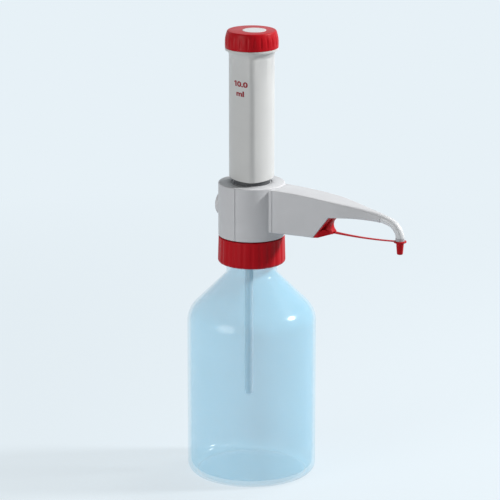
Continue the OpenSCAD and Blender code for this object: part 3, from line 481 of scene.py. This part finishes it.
def moulded(name, tint, roughness, grain=0.04, specular=0.3):
    """Moulded plastic: a fine grain, a slow change of tint and of gloss."""
    material, tree, bsdf = shader(name)
    bsdf.inputs["Specular IOR Level"].default_value = specular
    tree.links.new(
        two_tone(tree, spread(tree, noise(tree, 35), 0, 1),
                 [c * 0.97 for c in tint], [min(1.0, c * 1.03) for c in tint]),
        bsdf.inputs["Base Color"])
    tree.links.new(
        spread(tree, noise(tree, 90), roughness - 0.05, roughness + 0.05), bsdf.inputs["Roughness"])
    bump = tree.nodes.new("ShaderNodeBump")
    bump.inputs["Strength"].default_value = grain
    bump.inputs["Distance"].default_value = 0.0002
    tree.links.new(noise(tree, 2600, 2.0), bump.inputs["Height"])
    tree.links.new(bump.outputs["Normal"], bsdf.inputs["Normal"])
    return material


def clear(name, tint):
    """Clear glass, with a slow change of its gloss."""
    material, tree, bsdf = shader(name)
    bsdf.inputs["Base Color"].default_value = (*tint, 1)
    bsdf.inputs["Transmission Weight"].default_value = 1.0
    bsdf.inputs["IOR"].default_value = 1.47
    tree.links.new(spread(tree, noise(tree, 30), 0, 0.04), bsdf.inputs["Roughness"])
    return material


def milky(name, tint, density, roughness, specular=0.5):
    """Thin hazy wall: it hides the share given by its density, and its tint and gloss change slowly."""
    material, tree, bsdf = shader(name)
    bsdf.inputs["Specular IOR Level"].default_value = specular
    bsdf.inputs["Alpha"].default_value = density
    tree.links.new(
        two_tone(tree, spread(tree, noise(tree, 22, 2.0), 0, 1), tint, [c * 0.95 for c in tint]),
        bsdf.inputs["Base Color"])
    tree.links.new(spread(tree, noise(tree, 60), roughness, roughness + 0.05), bsdf.inputs["Roughness"])
    return material


def metal(name, tint, roughness):
    """Drawn wire."""
    material, tree, bsdf = shader(name)
    bsdf.inputs["Base Color"].default_value = (*tint, 1)
    bsdf.inputs["Metallic"].default_value = 1.0
    tree.links.new(spread(tree, noise(tree, 400), roughness, roughness + 0.1), bsdf.inputs["Roughness"])
    return material


MATERIALS = {}  # finish: material, filled by the first operator

# Finish of each CAD node that is shown as it is
NODE_FINISH = {
    "neck_seal": "polymer", "valve_block": "housing", "vent_seal": "rubber",
    # the cylinder jacket gets the painted shade of the gap under the sleeve
    "glass_cylinder": "glass", "cylinder_seal": "polymer", "cylinder_jacket": "painted_shade",
    "jacket_nut": "housing", "piston_head": "polymer", "piston_seals": "polymer",
    "piston_rod": "housing", "rod_nut": "grey", "cap_disc": "disc",
    "filling_valve": "polymer", "filling_ball": "ceramic", "suction_tube": "tube",
    "suction_extension": "tube", "discharge_seat": "polymer", "discharge_ball": "ceramic",
    "discharge_plug": "polymer", "liner_tube": "polymer", "nozzle_ring": "grey",
    "nozzle_tip": "polymer",
}


class DISPENSER_OT_materials(bpy.types.Operator):
    """Make the finishes and give them to the inner pieces of the frame"""

    bl_idname = "dispenser.materials"
    bl_label = "Finishes"

    def execute(self, context):
        f = context.scene.dispenser_finishes
        MATERIALS.update({
            "red": moulded("red_plastic", f.red, 0.38, grain=0.03, specular=0.12),
            "ink": moulded("printing_ink", f.ink, 0.5, grain=0.0, specular=0.2),
            "housing": moulded("housing_plastic", f.housing, 0.42),
            "sleeve": moulded("sleeve_plastic", f.sleeve, 0.38),
            "disc": moulded("disc_plastic", f.disc, 0.35),
            "grey": moulded("grey_plastic", f.grey, 0.45),
            "polymer": moulded("fluoropolymer", f.polymer, 0.5, grain=0.02),
            "bottle": milky("bottle_glass", f.bottle, 0.22, 0.14, specular=0.8),
            "clear_tube": milky("clear_tube", f.nozzle, 0.85, 0.3),
            # painted shade: a near-black for the jacket that stands in for the shadow in the gap under the
            # sleeve
            "painted_shade": moulded("jacket_painted_shade", f.painted_shade, 0.5),
            "glass": clear("cylinder_glass", f.glass),
            "tube": milky("tube_plastic", f.tube, 0.9, 0.2),
            "rubber": moulded("black_rubber", f.rubber, 0.6, grain=0.1),
            "ceramic": moulded("ball_ceramic", f.ceramic, 0.15, grain=0.0),
            "spring": metal("spring_metal", f.steel, 0.2),
        })
        for node, finish in NODE_FINISH.items():
            piece = frame["nodes"][node]
            piece.data.materials.clear()
            piece.data.materials.append(MATERIALS[finish])
        return {"FINISHED"}


# ------------------------------------------------------------------ pieces


class DISPENSER_OT_bottle(bpy.types.Operator):
    """Turn the bottle and wind the thread round its neck"""

    bl_idname = "dispenser.bottle"
    bl_label = "Bottle"

    def execute(self, context):
        s = context.scene.dispenser_bottle
        # The inside runs along the outside at the wall's thickness
        slope = (BOTTLE_R - s.neck_r) / (s.neck_z - s.shoulder_z)
        drop = s.wall * math.sqrt(1 + slope ** 2) / slope
        inner_r = BOTTLE_R - s.wall
        lift = s.shoulder_z + s.wall / slope - drop
        outline = fillet([
            (0, s.dent, 0), (s.dent_r, s.dent, s.dent_edge), (BOTTLE_R - s.heel - 1, 0, 4),
            (BOTTLE_R, 0, s.heel - 1),
            (BOTTLE_R, s.shoulder_z, s.shoulder), (s.neck_r, s.neck_z, 3),
            (s.neck_r, BOTTLE_TOP, 1.2), (s.mouth_r, BOTTLE_TOP, 1.0),
            (s.mouth_r, lift + (BOTTLE_R - s.mouth_r) / slope, 4),
            (inner_r, lift, s.shoulder - s.wall), (inner_r, s.floor, s.heel - s.wall),
            (s.dent_r, s.floor + 0.6, s.dent_edge), (0, s.floor + 1.2, 0),
        ], 8)
        piece = smooth(lathe("bottle_shell", outline, 128), 40)
        dress(piece, "bottle", "bottle", "bottle")

        deselect()
        bpy.ops.mesh.primitive_circle_add(
            vertices=10, radius=s.thread_rib * MM, fill_type="NOTHING",
            location=((s.thread_r - s.thread_rib) * MM, 0, (BOTTLE_TOP - s.thread_drop) * MM),
            rotation=(math.pi / 2, 0, 0))
        thread = bpy.context.object
        thread.name = thread.data.name = "neck_thread"
        bpy.ops.object.transform_apply(location=True, rotation=True, scale=True)
        modified(thread, "SCREW", axis="Z", angle=2 * math.pi, iterations=2, steps=72, render_steps=72,
                 screw_offset=s.thread_pitch * MM, use_merge_vertices=True)
        edit(thread)
        bpy.ops.mesh.select_all(action="SELECT")
        bpy.ops.mesh.fill_holes(sides=12)
        bpy.ops.mesh.select_all(action="SELECT")
        bpy.ops.mesh.normals_make_consistent(inside=False)
        bpy.ops.object.mode_set(mode="OBJECT")
        smooth(thread, 50)
        dress(thread, "bottle", "bottle")
        return {"FINISHED"}


class DISPENSER_OT_collar(bpy.types.Operator):
    """Turn the screw collar and flute its side"""

    bl_idname = "dispenser.collar"
    bl_label = "Collar"

    def execute(self, context):
        s = context.scene.dispenser_collar
        z0, z1 = NUT_LOW.z, NUT_HIGH.z
        lean = (s.foot_r - s.top_r) / (z1 - z0)
        rows = [(s.foot_r - lean * h, z0 + h, 0) for h in (4, 8, 12, 16, 19.6)]
        outline = fillet([(s.bore_r, z0, 0.5), (s.foot_r, z0, 2.6)] + rows + [
            (s.top_r, z1, 0.7), (s.waist_r, z1, 0.2), (s.waist_r, z1 - s.top_t, 0.2),
            (s.bore_r, z1 - s.top_t, 0.8),
        ], 5)
        piece = lathe("collar", outline, s.flutes * 12)
        flute(piece, s.flutes, s.flute_depth, s.flute_reach, z0 - 1, z1 - 0.55)
        smooth(piece, 35)
        dress(piece, "collar", "red", "collar_nut")
        return {"FINISHED"}


def lobed(sizes, steps):
    """Outline of the sleeve: three lobes joined by wide arcs, with the same width all round."""
    offset = (sizes.width - 2 * sizes.lobe_r) / math.sqrt(3)
    points = []
    for lobe in (180, 300, 60):
        for wide, radius in ((0, sizes.lobe_r), (1, sizes.width - sizes.lobe_r)):
            bearing = math.radians(lobe + 240 * wide)
            for i in range(steps):
                a = math.radians(lobe - 30 + 60 * wide + 60 * i / steps)
                points.append((
                    offset * math.cos(bearing) + radius * math.cos(a),
                    offset * math.sin(bearing) + radius * math.sin(a)))
    return points


class DISPENSER_OT_sleeve(bpy.types.Operator):
    """Draw the three-lobed sleeve up to its round flange and print the volume on it"""

    bl_idname = "dispenser.sleeve"
    bl_label = "Piston sleeve"

    def execute(self, context):
        s = context.scene.dispenser_sleeve
        lip = 0.5  # height of the rounded lower edge
        spigot_wall = 2.5
        z0 = SLEEVE_LOW.z
        deck_top = SLEEVE_HIGH.z - s.spigot_h
        outline = lobed(s, 14)
        mean_r = sum(math.hypot(x, y) for x, y in outline) / len(outline)
        radius, z = mean_r, z0 + lip
        piece = start("sleeve", (*outline[0], z))

        def level(co):
            """Whether the place lies on the ring that was drawn last."""
            return abs(co.z - z) < 0.008

        def ring(rise, next_radius, roundness=0.0):
            """Draws the selected ring out to the next one, rounder by that share."""
            nonlocal radius, z
            draw_out((0, 0, rise))
            z += rise
            if roundness:
                piece.update_from_editmode()
                rows = {round(math.hypot(v.co.x, v.co.y) / MM, 2) for v in piece.data.vertices if v.select}
                for row in sorted(rows, key=lambda r: abs(r - radius)):
                    pick(piece, lambda co: level(co) and abs(math.hypot(co.x, co.y) - row) < 0.006)
                    widen(1 + roundness * (radius / row - 1))
                pick(piece, level)
            widen(next_radius / radius)
            radius = next_radius

        draw_line([(x, y, 0) for x, y in outline + outline[:1]])
        bpy.ops.mesh.select_all(action="SELECT")
        bpy.ops.mesh.remove_doubles(threshold=1e-6)

        # Outside, from the lower edge up over the flange and the spigot to the hole in the deck
        bpy.ops.mesh.select_all(action="SELECT")
        flare_z = deck_top - s.flange_t - s.flare_h
        for _ in range(4):
            ring((flare_z - z0 - lip) / 4, mean_r)
        flare_steps = 10
        for k in range(flare_steps):
            a, b = (math.radians(90 * (k + i) / flare_steps) for i in (0, 1))
            ring(s.flare_h * (math.sin(b) - math.sin(a)),
                 mean_r + (s.flange_r - mean_r) * (1 - math.cos(b)), 0.25 if k < flare_steps - 1 else 1.0)
        ring(0.25, s.flange_r + 0.05, 1.0)
        ring(s.flange_t - 0.5, s.flange_r + 0.05)
        ring(0.25, s.flange_r - 0.2)
        ring(0, s.spigot_r)
        ring(s.spigot_h, s.spigot_r)
        ring(0, s.spigot_r - spigot_wall)
        ring(-s.spigot_h, s.spigot_r - spigot_wall)
        ring(0, s.rod_hole_r)
        ring(-s.deck_t, s.rod_hole_r)

        # Round the lower edge and up inside to the same hole
        radius, z = mean_r, z0 + lip
        pick(piece, level)
        ring(-0.35, mean_r - 0.12)
        ring(-0.15, mean_r - 0.4)
        ring(0, mean_r - s.wall + 0.4)
        ring(0.15, mean_r - s.wall + 0.1)
        ring(0.35, mean_r - s.wall)
        ring(deck_top - s.deck_t - z0 - lip - 0.02, mean_r - s.wall)
        ring(0.02, s.rod_hole_r, 1.0)
        close_up(2e-5)
        smooth(piece, 30)
        dress(piece, "piston", "sleeve", "piston_sleeve")

        mark = volume_mark(piece, s.figure_h, MARK_PLACE)
        dress(mark, "piston", "ink")
        return {"FINISHED"}


def flag_the_one(mark):
    """Moves the bar of the flat figure 1 nearer to the next figure and draws its flag out to the left."""
    near, bar_w, move, flag_h = 0.01, 1.64, 0.6, 1.7
    left = min(v.co.x for v in mark.data.vertices) / MM
    top = max(v.co.y for v in mark.data.vertices if v.co.x / MM < left + near) / MM
    edit(mark)
    pick(mark, lambda co: co.x < left + bar_w + near and co.y > -1)
    bpy.ops.transform.translate(value=(move * MM, 0, 0))
    bpy.ops.mesh.bisect(plane_co=(0, (top - flag_h) * MM, 0), plane_no=(0, 1, 0))
    pick(mark, lambda co: co.x < left + move + near and co.y > top - flag_h - near)
    draw_out((-1.2, -1.0, 0))
    bpy.ops.object.mode_set(mode="OBJECT")


def volume_mark(sleeve, height, place):
    """Figures of the volume, printed on the sleeve: flat text cut into strips and laid on its curved side."""
    deselect()
    bpy.ops.object.text_add()
    mark = bpy.context.object
    mark.name = mark.data.name = "volume_mark"
    mark.data.body = "10.0\nml"
    mark.data.align_x = "CENTER"
    mark.data.size = height * MM
    mark.data.space_line = 1.34
    mark.data.offset = 0.045 * height * MM
    mark.data.resolution_u = 6
    bpy.ops.object.convert(target="MESH")
    mark = bpy.context.object
    flag_the_one(mark)
    mark.rotation_euler = (math.pi / 2, 0, 0)
    mark.scale = (1.0, 0.66, 1.0)
    mark.location = (place[0] * MM, -30 * MM, place[1] * MM)
    bpy.ops.object.transform_apply(location=True, rotation=True, scale=True)
    bpy.ops.object.mode_set(mode="EDIT")
    for x in range(-8, 9):
        bpy.ops.mesh.select_all(action="SELECT")
        bpy.ops.mesh.bisect(plane_co=((place[0] + x * 0.9) * MM, 0, 0), plane_no=(1, 0, 0))
    bpy.ops.mesh.select_all(action="SELECT")
    bpy.ops.mesh.remove_doubles(threshold=1e-6)
    bpy.ops.object.mode_set(mode="OBJECT")
    modified(mark, "SHRINKWRAP", target=sleeve, wrap_method="PROJECT", use_project_y=True,
             use_positive_direction=True, use_negative_direction=False, offset=0.03 * MM)
    modified(mark, "SOLIDIFY", thickness=0.02 * MM, offset=-1)
    return mark


class DISPENSER_OT_cap(bpy.types.Operator):
    """Turn the screw cap and groove its side"""

    bl_idname = "dispenser.cap"
    bl_label = "Screw cap"

    def execute(self, context):
        s = context.scene.dispenser_cap
        z0, z1 = CAP_LOW.z, CAP_HIGH.z
        rise = z1 - z0
        side = [(s.side_r, z0 + rise * h, 0) for h in (0.12, 0.26, 0.40)]
        lean = [(s.side_r + (s.top_r - s.side_r) * k ** 1.6, z0 + rise * (0.40 + 0.52 * k), 0)
                for k in (0.3, 0.55, 0.8, 1.0)]
        outline = fillet([(s.bore_r, z0, 0.3), (s.side_r, z0, 0.4)] + side + lean + [
            (s.top_r, z1, 1.4), (0, z1, 0), (0, z1 - s.top_t, 0), (s.bore_r, z1 - s.top_t, 0.8),
        ], 5)
        top = next(i for i, p in enumerate(outline) if p.x < 1e-6)
        piece = lathe("screw_cap", outline[top + 1:] + outline[:top + 1], s.grooves * 12)
        flute(piece, s.grooves, s.groove_depth, s.groove_reach, z0 + rise * 0.2, z0 + rise * 0.72,
              turn=s.groove_turn * 360 / s.grooves)
        smooth(piece, 38)
        dress(piece, "screw_cap", "red", "top_cap")
        return {"FINISHED"}


class DISPENSER_OT_housing(bpy.types.Operator):
    """Round off the edges of the housing's shells, the arm's cover and the holder in its notch"""

    bl_idname = "dispenser.housing"
    bl_label = "Housing and arm"

    def execute(self, context):
        for node, name, width, finish in (
            ("rear_shell", "housing_rear", 0.25, "housing"),
            ("front_shell", "housing_front", 0.25, "housing"),
            ("arm_cover", "arm", 0.2, "housing"),
            ("cap_holder", "holder", 0.25, "red"),
        ):
            dress(edged_copy(node, name, width), "head", finish, node)
        return {"FINISHED"}


class DISPENSER_OT_vent(bpy.types.Operator):
    """Turn the vent plug with its dished face and the groove of its seal"""

    bl_idname = "dispenser.vent"
    bl_label = "Vent plug"

    def execute(self, context):
        s = context.scene.dispenser_vent
        head_r = (VENT_HIGH.y - VENT_LOW.y) / 2
        length = VENT_HIGH.x - VENT_LOW.x
        groove = s.head_l + 2
        outline = fillet([
            (0, s.dish, 0), (head_r * 0.55, s.dish, 2), (head_r * 0.72, 0, 1.2), (head_r, 0.5, 1.1),
            (head_r, s.head_l, 0.2), (s.spigot_r, s.head_l, 0), (s.spigot_r, groove, 0),
            (s.groove_r, groove, 0), (s.groove_r, groove + s.groove_l, 0),
            (s.spigot_r, groove + s.groove_l, 0),
            (s.spigot_r, length, 0.5), (0, length, 0),
        ], 5)
        piece = smooth(lathe("vent", outline, 72), 32)
        middle = (VENT_LOW + VENT_HIGH) / 2
        piece.rotation_euler = (0, math.pi / 2, 0)
        piece.location = Vector((VENT_LOW.x, middle.y, middle.z)) * MM
        bpy.ops.object.transform_apply(location=True, rotation=True, scale=True)
        dress(piece, "vent", "housing", "vent_plug")
        return {"FINISHED"}


class DISPENSER_OT_tube(bpy.types.Operator):
    """Draw the clear discharge tube from the arm down to its nozzle"""

    bl_idname = "dispenser.tube"
    bl_label = "Discharge tube"

    def execute(self, context):
        s = context.scene.dispenser_tube
        radius = (TUBE_HIGH.y - TUBE_LOW.y) / 2
        out = Vector((math.cos(s.slope), 0, -math.sin(s.slope)))
        arm_tip = node_box("arm_cover")[1].x - radius * math.sin(s.slope)
        centre = Vector((NOZZLE_X - s.bend_r, 0, TUBE_LOW.z + s.straight))
        bend_start = centre + s.bend_r * Vector((math.sin(s.slope), 0, math.cos(s.slope)))
        run = (bend_start.x - arm_tip) / out.x
        first = bend_start - out * run

        deselect()
        bpy.ops.mesh.primitive_circle_add(
            vertices=48, radius=radius * MM, fill_type="NOTHING", location=first * MM,
            rotation=(0, math.pi / 2 + s.slope, 0))
        piece = bpy.context.object
        piece.name = piece.data.name = "tube"
        bpy.ops.object.transform_apply(location=True, rotation=True, scale=True)
        bpy.ops.object.mode_set(mode="EDIT")
        bpy.ops.mesh.select_all(action="SELECT")
        draw_out(out * run)
        bpy.ops.mesh.spin(steps=24, angle=s.slope - math.pi / 2, center=centre * MM, axis=(0, 1, 0))
        draw_out((0, 0, -s.straight))
        close_up()
        modified(piece, "SOLIDIFY", thickness=s.wall * MM, offset=-1, use_even_offset=True)
        modified(piece, "BEVEL", width=0.15 * MM, segments=2, limit_method="ANGLE",
                 angle_limit=math.radians(50))
        smooth(piece, 40)
        dress(piece, "head", "clear_tube", "discharge_tube")
        return {"FINISHED"}


class DISPENSER_OT_closure(bpy.types.Operator):
    """Turn the nozzle's closure"""

    bl_idname = "dispenser.closure"
    bl_label = "Closure"

    def execute(self, context):
        s = context.scene.dispenser_closure
        top, low = CLOSURE_HIGH.z, CLOSURE_LOW.z
        flange_r = (CLOSURE_HIGH.x - CLOSURE_LOW.x) / 2
        outline = fillet([
            (0, low, 0), (s.end_r, low, 0.9), (s.side_r, top - s.flange_t, 0.5),
            (flange_r, top - s.flange_t, 0.45), (flange_r, top, 0.45), (s.bore_r, top, 0.3),
            (s.bore_r, low + s.floor, 0.4), (0, low + s.floor, 0),
        ], 4)
        closure = smooth(lathe("closure", outline, 64, (NOZZLE_X, 0)), 40)
        dress(closure, "closure", "red", "nozzle_cap")
        return {"FINISHED"}


class DISPENSER_OT_strap(bpy.types.Operator):
    """Round off the soft strap and smooth it and the valve's spring, neither of which gets a body of its own
    """

    bl_idname = "dispenser.strap"
    bl_label = "Strap and spring"

    def execute(self, context):
        strap = modified(merged_copy("cap_strap", "strap"), "BEVEL", width=0.15 * MM, segments=2,
                         limit_method="ANGLE", angle_limit=math.radians(50))
        smooth(strap, 40)
        dress(strap, None, "red", "cap_strap")
        coil = smooth(merged_copy("discharge_spring", "spring"), 50)
        dress(coil, None, "spring", "discharge_spring")

        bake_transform(coil)
        z = (STRAP_LOW.z + STRAP_HIGH.z) / 2
        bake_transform(strap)
        return {"FINISHED"}


# ------------------------------------------------------------------ stage


VIEW_WAY = Vector((0.48181, -0.83454, 0.26724))  # from the object to the camera
VIEW_TARGET = Vector((-0.00116, -0.00067, 0.1817))
VIEW_DISTANCE = 2.3648


def area_light(name, azimuth, elevation, distance, width, watts):
    """A round lamp at a bearing in degrees from +X, aimed at the middle of the object."""
    target = Vector((0.02, 0, 0.19))
    a, e = math.radians(azimuth), math.radians(elevation)
    way = Vector((math.cos(a) * math.cos(e), math.sin(a) * math.cos(e), math.sin(e)))
    bpy.ops.object.light_add(type="AREA", location=target + way * distance)
    lamp = bpy.context.object
    lamp.name = lamp.data.name = name
    lamp.rotation_euler = way.to_track_quat("Z", "Y").to_euler()
    lamp.data.shape = "DISK"
    lamp.data.size = width
    lamp.data.energy = watts


def seen_ray(tree):
    """1 for camera, glossy and transmission rays, which show the plain background."""
    path = tree.nodes.new("ShaderNodeLightPath")
    total = None
    for ray in ("Is Camera Ray", "Is Glossy Ray", "Is Transmission Ray"):
        if total is None:
            total = path.outputs[ray]
            continue
        add = tree.nodes.new("ShaderNodeMath")
        add.operation = "MAXIMUM"
        tree.links.new(total, add.inputs[0])
        tree.links.new(path.outputs[ray], add.inputs[1])
        total = add.outputs[0]
    return total


class DISPENSER_OT_stage(bpy.types.Operator):
    """Set the floor, the world, the lamps and the camera"""

    bl_idname = "dispenser.stage"
    bl_label = "Stage"

    def execute(self, context):
        deselect()
        f = context.scene.dispenser_finishes
        bpy.ops.mesh.primitive_circle_add(vertices=96, radius=30, fill_type="NGON", location=(0, 0, 0))
        floor = bpy.context.object
        floor.name = floor.data.name = "floor"
        material, tree, bsdf = shader("pale_floor")
        bsdf.inputs["Roughness"].default_value = 0.9
        bsdf.inputs["Specular IOR Level"].default_value = 0.1
        seen = seen_ray(tree)
        tree.links.new(two_tone(tree, seen, f.floor_unseen, f.floor), bsdf.inputs["Base Color"])
        place = tree.nodes.new("ShaderNodeTexCoord")
        far = tree.nodes.new("ShaderNodeVectorMath")
        far.operation = "LENGTH"
        tree.links.new(place.outputs["Object"], far.inputs[0])
        share = tree.nodes.new("ShaderNodeMapRange")
        share.inputs["From Min"].default_value = 0.15
        share.inputs["From Max"].default_value = 0.9
        share.inputs["To Min"].default_value = 0.72
        tree.links.new(far.outputs["Value"], share.inputs["Value"])
        glow = tree.nodes.new("ShaderNodeMath")
        glow.operation = "MULTIPLY"
        tree.links.new(share.outputs["Result"], glow.inputs[0])
        tree.links.new(seen, glow.inputs[1])
        pale = tree.nodes.new("ShaderNodeEmission")
        pale.inputs["Color"].default_value = (*f.floor, 1)
        both = tree.nodes.new("ShaderNodeMixShader")
        tree.links.new(glow.outputs["Value"], both.inputs["Fac"])
        tree.links.new(bsdf.outputs["BSDF"], both.inputs[1])
        tree.links.new(pale.outputs["Emission"], both.inputs[2])
        tree.links.new(both.outputs["Shader"], tree.nodes["Material Output"].inputs["Surface"])
        material.cycles.emission_sampling = "NONE"
        floor.data.materials.append(material)

        world = bpy.data.worlds.new("studio")
        context.scene.world = world
        world.use_nodes = True
        tree = world.node_tree
        back = tree.nodes["Background"]
        mix = tree.nodes.new("ShaderNodeMix")
        mix.data_type = "RGBA"
        mix.inputs["B"].default_value = (*f.floor, 1)
        tree.links.new(seen_ray(tree), mix.inputs["Factor"])
        tree.links.new(mix.outputs["Result"], back.inputs["Color"])
        place = tree.nodes.new("ShaderNodeTexCoord")
        axes = tree.nodes.new("ShaderNodeSeparateXYZ")
        ramp = tree.nodes.new("ShaderNodeMapRange")
        ramp.inputs["From Min"].default_value = 0.0
        ramp.inputs["From Max"].default_value = 0.4
        ramp.inputs["To Min"].default_value = 0.40
        ramp.inputs["To Max"].default_value = 0.03
        tree.links.new(place.outputs["Generated"], axes.inputs["Vector"])
        tree.links.new(axes.outputs["Z"], ramp.inputs["Value"])
        tree.links.new(ramp.outputs["Result"], mix.inputs["A"])

        area_light("key", 34, 33, 1.8, 0.28, 38)
        area_light("top", 75, 62, 1.8, 0.5, 8)
        area_light("fill", -108, 12, 1.9, 1.1, 16.5)

        bpy.ops.object.camera_add()
        camera = bpy.context.object
        camera.name = camera.data.name = "camera"
        camera.location = VIEW_TARGET + VIEW_WAY * VIEW_DISTANCE
        camera.rotation_euler = VIEW_WAY.to_track_quat("Z", "Y").to_euler()
        camera.data.sensor_width = 36
        camera.data.lens = 216
        camera.data.clip_end = 100
        context.scene.camera = camera
        context.scene.view_settings.view_transform = "Standard"
        return {"FINISHED"}


class DISPENSER_PT_panel(bpy.types.Panel):
    """Lists the steps in the order in which they are done"""

    bl_idname = "DISPENSER_PT_panel"
    bl_label = "Bottle top dispenser"
    bl_space_type = "VIEW_3D"
    bl_region_type = "UI"
    bl_category = "Dispenser"

    def draw(self, context):
        for operator in OPERATORS:
            self.layout.operator(operator.bl_idname)


GROUPS = {
    "dispenser_bottle": BottleSizes,
    "dispenser_collar": CollarSizes,
    "dispenser_sleeve": SleeveSizes,
    "dispenser_cap": CapSizes,
    "dispenser_tube": TubeSizes,
    "dispenser_closure": ClosureSizes,
    "dispenser_vent": VentSizes,
    "dispenser_finishes": Finishes,
}
OPERATORS = (
    DISPENSER_OT_materials,
    DISPENSER_OT_bottle,
    DISPENSER_OT_collar,
    DISPENSER_OT_sleeve,
    DISPENSER_OT_cap,
    DISPENSER_OT_housing,
    DISPENSER_OT_vent,
    DISPENSER_OT_tube,
    DISPENSER_OT_closure,
    DISPENSER_OT_strap,
    DISPENSER_OT_stage,
)


def register():
    for cls in (*GROUPS.values(), *OPERATORS, DISPENSER_PT_panel):
        bpy.utils.register_class(cls)
    for name, group in GROUPS.items():
        setattr(bpy.types.Scene, name, PointerProperty(type=group))


def unregister():
    for name in GROUPS:
        delattr(bpy.types.Scene, name)
    for cls in (DISPENSER_PT_panel, *reversed(OPERATORS), *reversed(GROUPS.values())):
        bpy.utils.unregister_class(cls)


def main():
    register()
    for operator in OPERATORS:
        group, name = operator.bl_idname.split(".")
        getattr(getattr(bpy.ops, group), name)()


if __name__ == "__main__":
    main()
